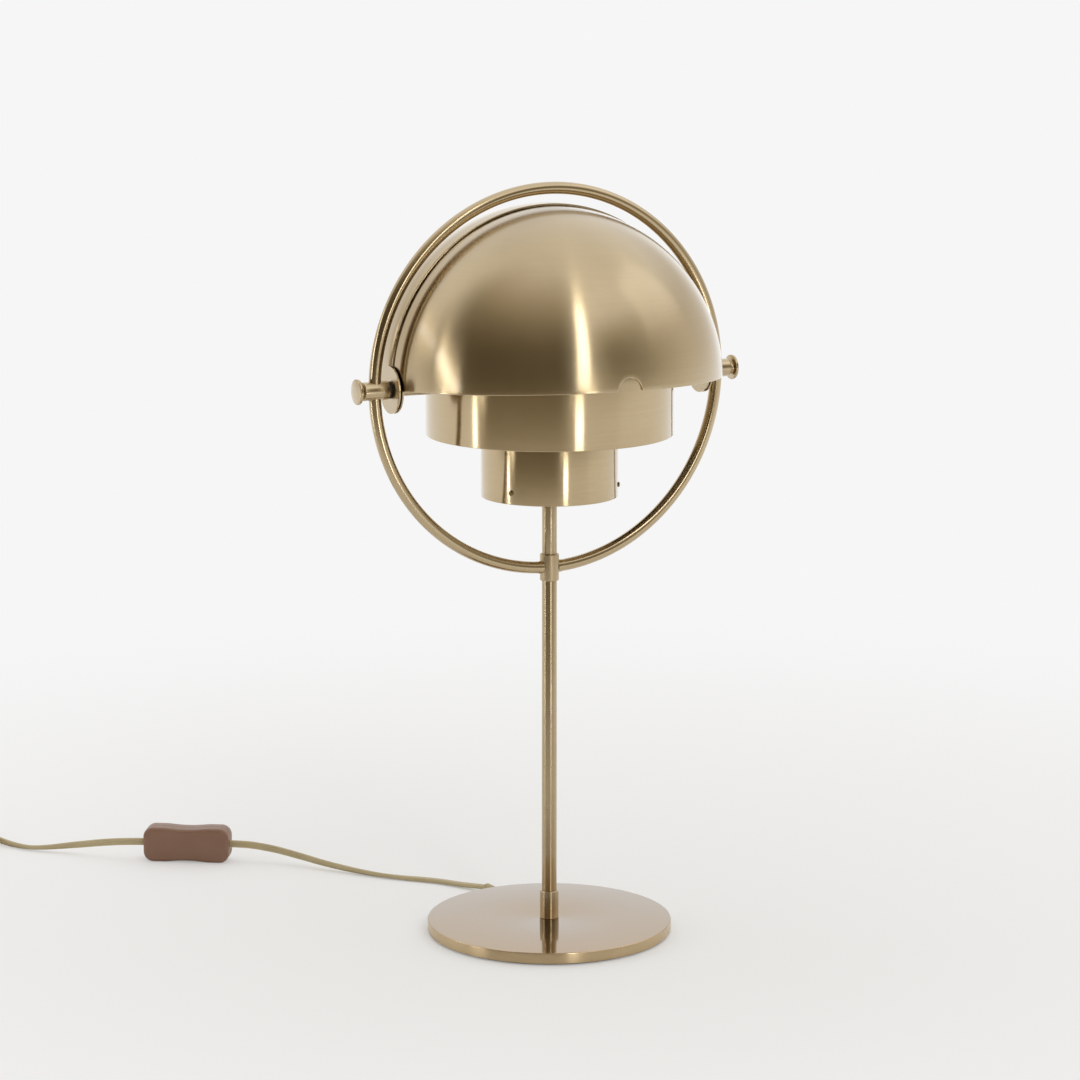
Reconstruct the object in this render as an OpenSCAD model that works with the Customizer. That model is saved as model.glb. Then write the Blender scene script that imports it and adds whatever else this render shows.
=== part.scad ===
// Table lamp with two quarter-sphere shades that turn on one pivot axis inside
// a standing ring, round a fixed drum and a smaller sleeve that hold the bulb.
// The ring stands in the XZ plane. +X is the pivot axis, -Y is the front,
// +Z is up, and the origin is the middle of the base's underside.

/* [Base] */
// Diameter of the base plate
base_d = 163; // [130:1:200]
// Thickness of the base plate
base_t = 7.6; // [7.4:0.1:12]
// Radius of the base plate's upper edge
base_edge_r = 1; // [0.4:0.1:2]
// Thickness of the felt pad under the base
pad_t = 0.8; // [0.5:0.1:2]
// How far the pad's edge stays inside the base's edge
pad_inset = 2.5; // [1:0.5:6]
// Diameter of the recess under the base
recess_d = 44; // [42:1:70]
// Depth of the recess and of the cord groove
recess_h = 5.4; // [5.3:0.1:5.8]
// Diameter of the collar round the foot of the stem
socket_d = 12.5; // [12:0.5:24]
// Height of the collar round the foot of the stem
socket_h = 19; // [8:1:40]

/* [Stem] */
// Outer diameter of the stem tube
stem_d = 10; // [9:0.5:11]
// Wall of the stem tube
stem_wall = 1; // [0.8:0.1:1.5]
// Height of the pivot axis above the table
pivot_h = 371.7; // [340:1:420]

/* [Ring] */
// Distance from the rear shade's outer radius to the middle of the ring's tube
ring_gap = 9.3; // [8.5:0.1:12]
// Outer diameter of the ring's tube
ring_tube_d = 8; // [6:0.5:9]
// Wall of the ring's tube
ring_wall = 1.2; // [0.8:0.1:2]
// Diameter of the collar that joins the ring to the stem
tee_d = 12.6; // [12.4:0.1:16]
// Height of the collar that joins the ring to the stem
tee_h = 17.8; // [12:0.5:30]

/* [Pivots] */
// Diameter of the barrel that the ring passes through
barrel_d = 12; // [10.5:0.5:16]
// Length of the barrel
barrel_l = 17.5; // [16:0.5:24]
// Diameter of the pivot screw's head
head_d = 16.5; // [12:0.5:24]
// Thickness of the rim of the pivot screw's head
head_t = 1.8; // [1:0.1:4]
// Height of the crown on the pivot screw's head
head_crown = 1; // [0.5:0.1:1.4]
// Length of the neck between barrel and head
neck_l = 2.4; // [1:0.1:6]
// Diameter of the pivot screw's shank
shank_d = 5; // [4:0.1:5.6]
// Thickness of the washer between barrel and rear shade
outer_washer_t = 1.4; // [0.8:0.1:3]
// Diameter of the washer between barrel and rear shade
outer_washer_d = 11; // [8:0.5:16]
// Thickness of the washers between the shades' ears
ear_washer_t = 1; // [0.6:0.1:2]
// Diameter of the washers between the shades' ears
ear_washer_d = 16; // [10:0.5:22]
// Diameter of the tube that spaces the drum from the shades
spacer_d = 9; // [8:0.5:12]

/* [Shades] */
// Outer radius of the rear shade
rear_r = 115; // [108:0.5:116]
// Thickness of the shades' sheet
shade_t = 1; // [0.8:0.1:1.4]
// Diameter of the round ear at each end of a shade
ear_d = 30.5; // [24:0.5:40]
// Radius of the stem's notch in each shade's lower edge
notch_r = 8.5; // [7:0.5:12]
// Depth of the front shade's turned-in edge
front_lip = 2.4; // [1.6:0.1:6]
// Depth of the rear shade's turned-in edge
rear_lip = 1.6; // [1.5:0.1:1.7]
// How far the front shade is turned up as it stands, in degrees
front_raise = 3; // [0:1:30]

/* [Drum and sleeve] */
// Outer diameter of the drum
drum_d = 162; // [130:1:176]
// Height of the drum, half of it above the pivot axis
drum_h = 70.6; // [60:1:90]
// Sheet thickness of the drum and the sleeve
drum_t = 1; // [0.8:0.1:1.6]
// Outer diameter of the sleeve
sleeve_d = 90; // [76:1:110]
// Height of the sleeve
sleeve_h = 50; // [46:1:60]
// Distance from the pivot axis down to the sleeve's lower rim
sleeve_drop = 76.5; // [70:0.5:84]
// Height of the three small screws above the sleeve's lower rim
sleeve_screw_up = 7.5; // [6:0.5:12]
// Head diameter of the sleeve's screws
sleeve_screw_d = 3.4; // [2.6:0.2:5]
// Sheet thickness of the cup and the carrier inside
cup_t = 1.5; // [1:0.1:2]
// Height of the cup's rim
cup_h = 8; // [7:0.5:12]
// Width of the carrier's ring and arms
carrier_w = 6; // [5:0.5:8]
// Height of the carrier's end tabs
tab_h = 12; // [8:1:20]

/* [Lamp holder and bulb] */
// Diameter of the lamp holder's body
holder_d = 38; // [34:1:44]
// How far the bulb's glass stays above the lamp holder's rim
holder_gap = 0.5; // [0.3:0.1:3]
// Diameter of the lamp holder's threaded entry
entry_d = 16; // [14:0.5:22]
// Height of the lamp holder's threaded entry
entry_h = 9; // [8:0.5:14]
// Diameter of the bulb's screw cap
cap_d = 26; // [22:0.5:27]
// Height of the bulb's screw cap
cap_h = 24; // [20:1:28]
// Diameter of the bulb's globe
globe_d = 60; // [45:1:70]
// Height of the bulb's glass above its cap
globe_h = 84; // [70:1:86]

/* [Switch] */
// Length of the cord switch
switch_l = 62; // [60:1:80]
// Width of the cord switch, upright as it lies
switch_w = 25; // [23:1:32]
// Thickness of the cord switch
switch_t = 17; // [16:0.5:22]
// Corner radius of the cord switch
switch_r = 7; // [4:0.5:8]
// Depth of the waist in the switch's long sides
switch_waist = 1; // [0.2:0.1:2]
// Length of the rocker
rocker_l = 16; // [12:0.5:20]
// Width of the rocker
rocker_w = 9; // [7:0.5:11]
// How far the rocker tips from the middle to each side, in degrees
rocker_tip = 6; // [4:1:8]

/* [Cord and plug] */
// Width of the flat cord
cord_w = 5.2; // [5:0.1:5.4]
// Thickness of the flat cord
cord_t = 3; // [2.6:0.1:3.2]
// Number of turns in the stored coil
coil_turns = 7.44; // [6.44:1:8.44]
// Step between neighbouring turns of the coil
coil_pitch = 4.4; // [4.2:0.1:4.6]
// Step between the coil's two layers
coil_layer = 6; // [5.9:0.1:6.4]
// Thickness of the band that ties the coil
tie_t = 0.7; // [0.4:0.1:0.7]
// Length of the plug's body
plug_l = 36; // [30:1:42]
// Width of the plug's body
plug_w = 35; // [30:1:38]
// Thickness of the plug's body
plug_t = 13.6; // [12:0.2:16]
// Diameter of the plug's pins
pin_d = 4; // [3.6:0.1:4.8]
// Length of the plug's pins
pin_l = 19; // [16:1:22]
// Distance between the plug's pins
pin_gap = 18; // [16:0.5:20]
// Diameter of the pins' roots inside the plug
pin_root_d = 5.4; // [5.2:0.1:6]

/* [Hidden] */
$fn = 96;
fit = 0.05;        // radial clearance of a shaft in a running or brazed fit
seat = 0.1;        // gap where a turning ear meets a washer
slack = 0.3;       // gap between pieces that only lie side by side

base_top = pad_t + base_t;
recess_top = pad_t + recess_h;
ring_r = rear_r + ring_gap;
ring_low_z = pivot_h - ring_r;
stem_r = stem_d / 2;
stem_bore = stem_d - 2 * stem_wall;

// Cord groove, clamp strap and nut in the base's recess, from the pad upwards
cord_z = pad_t + 3.1;
groove_w = cord_w + 1.2;
strap_t = 0.8;
strap_w = 6;
strap_l = 20;
strap_y = recess_d / 2 - 6;
clamp_screw_x = 7;
clamp_screw_d = 2.5;
clamp_head_d = 4.4;
clamp_head_t = 0.6;
nut_af = 14;
nut_h = recess_h - 3;
stem_foot_z = recess_top - nut_h - 0.2;
wire_d = 1.8;
wire_z = pad_t + 1.4;
wire_x = 1.1;
wire_bend = 5;
wire_start_y = strap_y - strap_w / 2 - 2;
relief_in = 12;
relief_out = 14.5;
relief_collar_l = 2.5;
relief_y = base_d / 2;

// Pivot stack along X, from the drum outwards
drum_r = drum_d / 2;
front_r = rear_r - shade_t - 1.2;
ear_r = ear_d / 2;
rear_ear_x = sqrt(rear_r * rear_r - ear_r * ear_r);
front_ear_x = sqrt(front_r * front_r - ear_r * ear_r);
front_ear_in_x = front_ear_x - shade_t;
inner_washer_x = front_ear_in_x - seat - ear_washer_t;
middle_gap = rear_ear_x - shade_t - front_ear_x;
middle_washer_t = middle_gap - 2 * seat;
barrel_x = rear_ear_x + seat + outer_washer_t;
neck_x = barrel_x + barrel_l;
head_x = neck_x + neck_l;
neck_d = barrel_d - 3;
pivot_nut_h = 3.6;
pivot_nut_af = shank_d + 3;
shank_in_x = drum_r - drum_t - pivot_nut_h - 1;
shank_hole_d = shank_d + 2 * fit;

// Levels of the drum, the sleeve and what is inside them
drum_z = pivot_h - drum_h / 2;
drum_in_r = drum_r - drum_t;
sleeve_z = pivot_h - sleeve_drop;
sleeve_top = sleeve_z + sleeve_h;
sleeve_r = sleeve_d / 2;
sleeve_in_r = sleeve_r - drum_t;
cup_z = sleeve_z + sleeve_screw_up - cup_h / 2;
cup_r = sleeve_in_r - fit;
screw_z = sleeve_z + sleeve_screw_up;
screw_angles = [90, 210, 330];
holder_nut_h = 3;
holder_nut_af = stem_d + 5;
entry_z = cup_z + cup_t + holder_nut_h;
holder_z = entry_z + entry_h;
holder_floor = 6;
holder_wall_r = cap_d / 2 + 0.6;
contact_h = 2;
tip_z = holder_z + holder_floor + contact_h;
tip_h = 3;
cap_z = tip_z + tip_h;
globe_z = cap_z + cap_h;
holder_h = globe_z - holder_gap - holder_z;
glass_t = 1;
stem_top = holder_z - 0.5;
wire_top = holder_z + holder_floor - 1;

// Where the switch stands, and how it is turned about the vertical
switch_pos = [-156, 268, 0];
switch_turn = -32;
switch_mid_z = switch_w / 2;
case_wall = 2.2;
rocker_gap = 0.6;
rocker_axis_y = switch_t / 2 - 3;
trunnion_r = 1.2;
trunnion_l = 1.4;
rocker_half = rocker_w / 2;

// Cord routes: place of the cord's middle, then its roll in degrees
// (0 lies flat, 90 stands on edge)
cord_end_y = relief_y + relief_out;
lamp_route = [
    [-4, 105, 2.9, 0], [-11, 117, 2, 0], [-20, 131, 1.7, 0], [-30, 142, 1.6, 0],
    [-41, 153, 1.6, 10], [-54, 168, 1.9, 25], [-66, 184, 2.8, 45], [-78, 201, 4.4, 60],
    [-90, 219, 6.8, 75], [-103, 234, 9.6, 85], [-116, 243.5, 11.8, 90]
];
mains_route = [
    [-197, 294, 12, 90], [-208, 304, 10.2, 85], [-219, 315, 7.6, 70], [-229, 325, 5.2, 50],
    [-239, 333, 3.4, 30], [-249, 342, 2.2, 20], [-257, 353, 2.2, 40], [-264, 368, 2.9, 70]
];

// The coil lies on its tie, just past the place where the cord leaves the view
coil_x = -306;
coil_y = 384;
coil_r = 37;
coil_start = 20;
coil_z = tie_t + 0.1 + cord_w / 2;
coil_half = (coil_turns - 0.5) / 2;
coil_in_r = coil_r - coil_pitch * coil_half;
rings_per_turn = 24;
coil_rings = round(coil_turns * rings_per_turn);

// The plug lies flat beside the coil, and its cord comes off the upper layer
plug_x = coil_x - coil_r;
plug_z = plug_t / 2;
plug_relief_l = 22;
plug_relief_y = coil_y - 34;
plug_back_y = plug_relief_y - plug_relief_l;
plug_face_y = plug_back_y - plug_l;
pin_root_l = 8;

// A point of the coil's middle line after u turns: [place, angle]
function climb(u) = let (k = min(max((u - coil_half) / 0.5, 0), 1)) k * k * (3 - 2 * k);
function spiral_r(u) = coil_in_r + coil_pitch * max(coil_half - u, u - coil_half - 0.5, 0);
function coil_point(u) = let (a = coil_start + 360 * u)
    [coil_x + spiral_r(u) * cos(a), coil_y + spiral_r(u) * sin(a),
     coil_z + coil_layer * climb(u)];
coil_end_a = coil_start + 360 * coil_turns;

// Smooth curve through a route, with a number of steps between its points
function catmull(a, b, c, d, t) =
    0.5 * (2 * b + (c - a) * t + (2 * a - 5 * b + 4 * c - d) * t * t
    + (3 * b - a - 3 * c + d) * t * t * t);
function smooth(p, steps) = let (n = len(p)) concat(
    [for (i = [0 : n - 2], s = [0 : steps - 1])
        catmull(p[max(i - 1, 0)], p[i], p[i + 1], p[min(i + 2, n - 1)], s / steps)],
    [p[n - 1]]);

// A flat section of the cord across its way, rolled about the way
function unit(v) = v / norm(v);
function flat_ring(at, way, roll, sides, w, t) = let (
    f = unit(way), side = unit(cross([0, 0, 1], f)), up = cross(f, side),
    wide = side * cos(roll) + up * sin(roll), thin = up * cos(roll) - side * sin(roll))
    [for (k = [0 : sides - 1]) let (a = 360 * k / sides)
        at + wide * (w / 2) * cos(a) + thin * (t / 2) * sin(a)];
function xyz(p) = [p[0], p[1], p[2]];

// One closed tube through a list of rings of points
module skin(rings) {
    sides = len(rings[0]);
    n = len(rings);
    sheet = [for (i = [0 : n - 2], k = [0 : sides - 1]) let (k2 = (k + 1) % sides)
        each [[i * sides + k, i * sides + k2, (i + 1) * sides + k],
              [i * sides + k2, (i + 1) * sides + k2, (i + 1) * sides + k]]];
    foot = [for (k = [1 : sides - 2]) [0, k + 1, k]];
    last = (n - 1) * sides;
    lid = [for (k = [1 : sides - 2]) [last, last + k, last + k + 1]];
    polyhedron(points = [for (r = rings) each r], faces = concat(foot, sheet, lid));
}

// The cord swept along a smoothed route; its first and last way are given
module cord_tube(path, first_way, last_way) {
    n = len(path);
    skin([for (i = [0 : n - 1]) let (
        way = i == 0 ? first_way : i == n - 1 ? last_way
            : xyz(path[i + 1]) - xyz(path[i - 1]))
        flat_ring(xyz(path[i]), way, path[i][3], 8, cord_w, cord_t)]);
}

// Ends of the switch, and the way the cord leaves each of them
switch_way = [cos(switch_turn), sin(switch_turn), 0];
switch_near = switch_pos + switch_way * switch_l / 2 + [0, 0, switch_mid_z];
switch_far = switch_pos - switch_way * switch_l / 2 + [0, 0, switch_mid_z];
function rolled(p, roll) = [p[0], p[1], p[2], roll];
lamp_path = smooth(concat(
    [[0, cord_end_y, cord_z, 0]], lamp_route,
    [rolled(switch_near + switch_way * cord_w, 90), rolled(switch_near, 90)]), 3);
coil_way = [-sin(coil_start), cos(coil_start), 0];
coil_from = coil_point(0) - coil_way * cord_w;
mains_path = smooth(concat(
    [rolled(switch_far, 90), rolled(switch_far - switch_way * cord_w, 90)], mains_route,
    [rolled(coil_from, 90)]), 3);
coil_out_way = [-sin(coil_end_a), cos(coil_end_a), 0];
coil_to = coil_point(coil_turns) + coil_out_way * cord_w;
end_path = smooth([
    rolled(coil_to, 90), rolled(coil_to + coil_out_way * 8 - [0, 0, 0.6], 65),
    [plug_x, plug_relief_y + 10, plug_z + 0.3, 25], [plug_x, plug_relief_y, plug_z, 0]], 3);

coil_rings_list = let (step = coil_turns / coil_rings) concat(
    [flat_ring(coil_from, coil_way, 90, 6, cord_w, cord_t)],
    [for (i = [0 : coil_rings]) let (u = i * step, a = coil_start + 360 * u)
        flat_ring(coil_point(u), [-sin(a), cos(a), 0], 90, 6, cord_w, cord_t)],
    [flat_ring(coil_to, coil_out_way, 90, 6, cord_w, cord_t)]);
coil_gap = min([for (i = [0 : len(coil_rings_list) - 1],
    j = [i + rings_per_turn - 2 : min(i + 2 * rings_per_turn + 2, len(coil_rings_list) - 1)],
    p = coil_rings_list[i], q = coil_rings_list[j]) norm(p - q)]);

echo(coil_gap = coil_gap);  // cord_coil

// ---- helpers ----

module tube(d, bore, h) {
    difference() {
        cylinder(d = d, h = h);
        translate([0, 0, -1]) cylinder(d = bore, h = h + 2);
    }
}

// Turns a piece built along +Z to lie along +X
module along_x() {
    rotate([0, 90, 0]) children();
}

// The same piece on both sides of the pivot axis, at the pivot's height
module both_sides() {
    for (side = [-1, 1])
        translate([0, 0, pivot_h]) scale_side(side) children();
}

module scale_side(side) {
    rotate([0, 0, side > 0 ? 0 : 180]) children();
}

// ---- base ----

// Turned steel disc with a rounded upper edge, a recess and a cord groove below
module base_plate() {
    color("#b39c72")
    difference() {
        translate([0, 0, pad_t]) rotate_extrude() union() {
            square([base_d / 2 - base_edge_r, base_t]);
            square([base_d / 2, base_t - base_edge_r]);
            translate([base_d / 2 - base_edge_r, base_t - base_edge_r])
                circle(r = base_edge_r, $fn = 32);
        }
        translate([0, 0, pad_t - 1]) cylinder(d = recess_d, h = recess_h + 1);
        translate([-groove_w / 2, 0, pad_t - 1]) cube([groove_w, base_d, recess_h + 1]);
        cylinder(d = stem_d + 2 * fit, h = base_top + 1);
        for (x = [-clamp_screw_x, clamp_screw_x])
            translate([x, strap_y, recess_top - 1]) cylinder(d = clamp_screw_d, h = 2.2);
    }
}

module base_pad() {
    color("#26241f") cylinder(r = base_d / 2 - pad_inset, h = pad_t);
}

// Turned collar that hides the foot of the stem
module stem_socket() {
    color("#b39c72") translate([0, 0, base_top]) rotate_extrude() difference() {
        square([socket_d / 2, socket_h]);
        translate([-1, -1]) square([stem_r + fit + 1, socket_h + 2]);
        translate([socket_d / 2, socket_h]) rotate(45) square(0.8, center = true);
    }
}

module base_nut() {
    color("#8d8f92") translate([0, 0, recess_top - nut_h]) difference() {
        cylinder(d = nut_af / cos(30), h = nut_h, $fn = 6);
        translate([0, 0, -1]) cylinder(d = stem_d + 2 * fit, h = nut_h + 2);
    }
}

// ---- stem and ring ----

module stem_lower() {
    color("#b39c72") translate([0, 0, stem_foot_z])
        tube(stem_d, stem_bore, ring_low_z - 0.1 - stem_foot_z);
}

module stem_upper() {
    color("#b39c72") translate([0, 0, ring_low_z + 0.1])
        tube(stem_d, stem_bore, stem_top - ring_low_z - 0.1);
}

// Collar bored for the stem, with a blind hole each side for the ring's ends
module ring_collar() {
    color("#b39c72") translate([0, 0, ring_low_z]) difference() {
        translate([0, 0, -tee_h / 2]) cylinder(d = tee_d, h = tee_h);
        translate([0, 0, -tee_h]) cylinder(d = stem_d + 2 * fit, h = 2 * tee_h);
        translate([-tee_d, 0, 0]) along_x() cylinder(d = ring_tube_d + 0.5, h = 2 * tee_d);
    }
}

// Tube bent to a ring, open where its ends enter the collar
ring_gap_a = asin((stem_r + slack) / ring_r);
module ring_tube() {
    color("#b39c72") difference() {
        translate([0, 0, pivot_h]) rotate([90, 0, 0]) rotate([0, 0, ring_gap_a - 90])
            rotate_extrude(angle = 360 - 2 * ring_gap_a) translate([ring_r, 0])
                difference() {
                    circle(d = ring_tube_d, $fn = 48);
                    circle(d = ring_tube_d - 2 * ring_wall, $fn = 48);
                }
        translate([-ring_r * 1.5, 0, pivot_h]) along_x()
            cylinder(d = shank_hole_d, h = ring_r * 3, $fn = 48);
    }
}

// Turned barrel, cross-bored for the ring and bored through for the screw
module barrel() {
    translate([barrel_x, 0, 0]) difference() {
        along_x() cylinder(d = barrel_d, h = barrel_l);
        translate([-1, 0, 0]) along_x() cylinder(d = shank_hole_d, h = barrel_l + 2);
        translate([ring_r - barrel_x, 0, -barrel_d])
            cylinder(d = ring_tube_d + 0.6, h = 2 * barrel_d);
    }
}

module barrel_left() {
    color("#b39c72") translate([0, 0, pivot_h]) scale_side(-1) barrel();
}

module barrel_right() {
    color("#b39c72") translate([0, 0, pivot_h]) barrel();
}

// ---- pivots ----

// Screw with a neck and a low crowned head; its shank is the shades' pivot
head_ball = (head_crown * head_crown + head_d * head_d / 4) / (2 * head_crown);
module pivot_screw() {
    crown_top = head_x + head_t + head_crown;
    crown = [for (k = [0 : 0.25 : 1]) let (y = k * head_d / 2)
        [y, crown_top - head_ball + sqrt(head_ball * head_ball - y * y)]];
    along_x() rotate_extrude() polygon(concat(
        [[0, shank_in_x], [shank_d / 2, shank_in_x], [shank_d / 2, neck_x],
            [neck_d / 2, neck_x], [neck_d / 2, head_x], [head_d / 2, head_x]],
        [for (k = [4 : -1 : 0]) crown[k]]));
}

module pivot_screw_left() {
    color("#b39c72") translate([0, 0, pivot_h]) scale_side(-1) pivot_screw();
}

module pivot_screw_right() {
    color("#b39c72") translate([0, 0, pivot_h]) pivot_screw();
}

module washer(x, d, t) {
    translate([x, 0, 0]) along_x() tube(d, shank_hole_d, t);
}

module outer_washers() {
    color("#23211f") both_sides() washer(rear_ear_x + seat, outer_washer_d, outer_washer_t);
}

module middle_washers() {
    color("#23211f") both_sides() washer(front_ear_x + seat, ear_washer_d, middle_washer_t);
}

module inner_washers() {
    color("#23211f") both_sides() washer(inner_washer_x, ear_washer_d, ear_washer_t);
}

module pivot_spacers() {
    color("#b39c72") both_sides() translate([drum_r, 0, 0]) along_x()
        tube(spacer_d, shank_hole_d, inner_washer_x - drum_r);
}

module pivot_nuts() {
    color("#8d8f92") both_sides() translate([drum_in_r - pivot_nut_h, 0, 0]) along_x()
        difference() {
            cylinder(d = pivot_nut_af / cos(30), h = pivot_nut_h - 0.15, $fn = 6);
            translate([0, 0, -1]) cylinder(d = shank_hole_d, h = pivot_nut_h + 2);
        }
}

// ---- shades ----

module shell(r, t) {
    difference() {
        sphere(r, $fn = 144);
        sphere(r - t, $fn = 144);
    }
}

// A quarter sphere in front of and above the pivot axis, its edges turned in
// between the ears, with a round ear at each pole and a notch for the stem
module shade(r, lip) {
    ear_x = sqrt(r * r - ear_r * ear_r);
    lip_x = ear_x - lip;
    difference() {
        union() {
            intersection() {
                shell(r, shade_t);
                translate([-ear_x, -2 * r, 0]) cube([2 * ear_x, 2 * r, 2 * r]);
            }
            intersection() {
                shell(r, lip);
                union() {
                    translate([-lip_x, -2 * r, 0]) cube([2 * lip_x, 2 * r, shade_t]);
                    translate([-lip_x, -shade_t, 0]) cube([2 * lip_x, shade_t, 2 * r]);
                    intersection() {
                        rotate([90, 0, 0]) cylinder(r = notch_r + shade_t, h = 2 * r);
                        translate([-r, -2 * r, 0]) cube([2 * r, 2 * r, r]);
                    }
                }
            }
            for (x = [-ear_x, ear_x - shade_t])
                translate([x, 0, 0]) along_x() cylinder(r = ear_r, h = shade_t);
        }
        translate([-2 * r, 0, 0]) along_x() cylinder(d = shank_hole_d, h = 4 * r, $fn = 48);
        rotate([90, 0, 0]) cylinder(r = notch_r, h = 2 * r, $fn = 64);
    }
}

module rear_shade() {
    color("#b9a47c") translate([0, 0, pivot_h]) rotate([0, 0, 180]) shade(rear_r, rear_lip);
}

module front_shade() {
    color("#b9a47c") translate([0, 0, pivot_h]) rotate([-front_raise, 0, 0])
        shade(front_r, front_lip);
}

// ---- drum and sleeve ----

module drum() {
    color("#b39c72") difference() {
        translate([0, 0, drum_z]) tube(drum_d, 2 * drum_in_r, drum_h);
        translate([-drum_d, 0, pivot_h]) along_x()
            cylinder(d = shank_hole_d, h = 2 * drum_d, $fn = 48);
    }
}

module sleeve() {
    color("#b39c72") difference() {
        translate([0, 0, sleeve_z]) tube(sleeve_d, 2 * sleeve_in_r, sleeve_h);
        for (a = screw_angles)
            translate([0, 0, screw_z]) rotate([0, 90, a])
                cylinder(d = 2.6, h = sleeve_d, $fn = 32);
    }
}

// Flat ring on the sleeve's upper rim, with three arms to the drum's wall
module drum_carrier() {
    color("#c9c9c4") translate([0, 0, sleeve_top]) {
        tube(sleeve_d, sleeve_d - 2 * carrier_w, cup_t);
        for (a = screw_angles) rotate([0, 0, a]) {
            translate([sleeve_r - 1, -carrier_w, 0])
                cube([drum_in_r - 0.35 - sleeve_r + 1, 2 * carrier_w, cup_t]);
            translate([drum_in_r - 0.35 - cup_t, -carrier_w / 2, 0])
                cube([cup_t, carrier_w, tab_h]);
        }
    }
}

// Spun cup that closes the sleeve and stands on the stem
module holder_cup() {
    color("#b39c72") translate([0, 0, cup_z]) difference() {
        cylinder(r = cup_r, h = cup_h);
        translate([0, 0, cup_t]) cylinder(r = cup_r - cup_t, h = cup_h);
        translate([0, 0, -1]) cylinder(d = stem_d + 2 * fit, h = cup_h);
        for (a = screw_angles)
            translate([0, 0, cup_h / 2]) rotate([0, 90, a])
                cylinder(d = 2.1, h = sleeve_d, $fn = 32);
    }
}

module sleeve_screws() {
    color("#8a7448") for (a = screw_angles)
        translate([0, 0, screw_z]) rotate([0, 0, a]) {
            translate([sleeve_r, 0, 0]) along_x() cylinder(d = sleeve_screw_d, h = 1.1);
            translate([cup_r - cup_t - 1.5, 0, 0]) along_x()
                cylinder(d = 2, h = sleeve_r - cup_r + cup_t + 1.5, $fn = 32);
        }
}

module holder_nuts() {
    color("#8d8f92") for (z = [cup_z - holder_nut_h, cup_z + cup_t])
        translate([0, 0, z]) difference() {
            cylinder(d = holder_nut_af / cos(30), h = holder_nut_h, $fn = 6);
            translate([0, 0, -1]) cylinder(d = stem_d + 2 * fit, h = holder_nut_h + 2);
        }
}

// ---- lamp holder and bulb ----

module lamp_holder() {
    color("#2b2926") difference() {
        union() {
            translate([0, 0, entry_z]) cylinder(d = entry_d, h = entry_h);
            translate([0, 0, holder_z]) cylinder(d = holder_d, h = holder_h);
        }
        translate([0, 0, entry_z - 1]) cylinder(d = stem_d + 2 * fit, h = entry_h + 1);
        translate([0, 0, holder_z - 1]) cylinder(d = stem_bore, h = holder_floor - 2);
        translate([0, 0, holder_z])
            cylinder(d = 2 * wire_x + wire_d + 0.4, h = holder_floor - 0.8, $fn = 24);
        translate([0, 0, holder_z + holder_floor]) cylinder(r = holder_wall_r, h = holder_h);
    }
}

module holder_contact() {
    color("#c8a24a") translate([0, 0, holder_z + holder_floor])
        translate([-4, -holder_wall_r + 2, 0]) cube([8, 2 * holder_wall_r - 4, contact_h]);
}

module bulb_tip() {
    color("#3a3734") translate([0, 0, tip_z])
        cylinder(d1 = 9, d2 = cap_d - 6, h = tip_h);
}

module bulb_cap() {
    color("#c4c6c8") translate([0, 0, cap_z]) difference() {
        cylinder(d = cap_d, h = cap_h);
        translate([0, 0, 1]) cylinder(d = cap_d - 1, h = cap_h);
    }
}

// Pear-shaped glass: a ball on a neck that flares from the cap
globe_r = globe_d / 2;
ball_z = globe_h - globe_r;
neck_glass_r = cap_d / 2 + 0.5;
join_a = 32;
join_r = globe_r * cos(join_a);
join_z = ball_z - globe_r * sin(join_a);
function flare(k) = let (e = (1 - cos(180 * k)) / 2)
    [neck_glass_r + (join_r - neck_glass_r) * (0.75 * e + 0.25 * k), join_z * k];
function globe_outline(inset) = concat(
    [for (k = [0 : 0.125 : 0.875]) flare(k) - [inset, 0]],
    [for (a = [-join_a : 8 : 88]) [(globe_r - inset) * cos(a), ball_z + (globe_r - inset) * sin(a)]],
    [[0, ball_z + globe_r - inset]]);

module bulb_globe() {
    color("#f2efe6") translate([0, 0, globe_z]) rotate_extrude() difference() {
        polygon(concat([[0, 0]], globe_outline(0)));
        polygon(concat([[0, -0.01]], [[neck_glass_r - glass_t, -0.01]],
            globe_outline(glass_t)));
    }
}

// ---- lead inside the base and the stem ----

// Moulded sleeve: a block in the groove, a collar outside it and a tapered tail
module cord_relief() {
    color("#2b2926") {
        translate([-groove_w / 2 + 0.1, relief_y - relief_in, pad_t + 0.2])
            cube([groove_w - 0.2, relief_in + 0.5, recess_h - 0.4]);
        translate([0, relief_y + 0.4, cord_z]) rotate([-90, 0, 0]) {
            cylinder(d = cord_w + 1.6, h = relief_collar_l);
            cylinder(d1 = cord_w + 1.4, d2 = cord_w + 0.3, h = relief_out - 0.4);
        }
    }
}

// The flat cord inside the base, from its sleeve to the clamp
module cord_tail() {
    tail_l = relief_y - relief_in - wire_start_y;
    color("#bfb088") translate([0, wire_start_y + tail_l, cord_z]) rotate([90, 0, 0])
        linear_extrude(tail_l) {
            square([cord_w - cord_t, cord_t], center = true);
            for (x = [-1, 1]) translate([x * (cord_w - cord_t) / 2, 0])
                circle(d = cord_t, $fn = 32);
        }
}

// Steel strap over the cord, screwed up into the base
module cord_clamp() {
    color("#8d8f92") translate([0, strap_y, cord_z - cord_t / 2 - strap_t])
        difference() {
            translate([-strap_l / 2, -strap_w / 2, 0]) cube([strap_l, strap_w, strap_t]);
            for (x = [-clamp_screw_x, clamp_screw_x])
                translate([x, 0, -1]) cylinder(d = clamp_screw_d + 0.4, h = 3, $fn = 32);
        }
}

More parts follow.
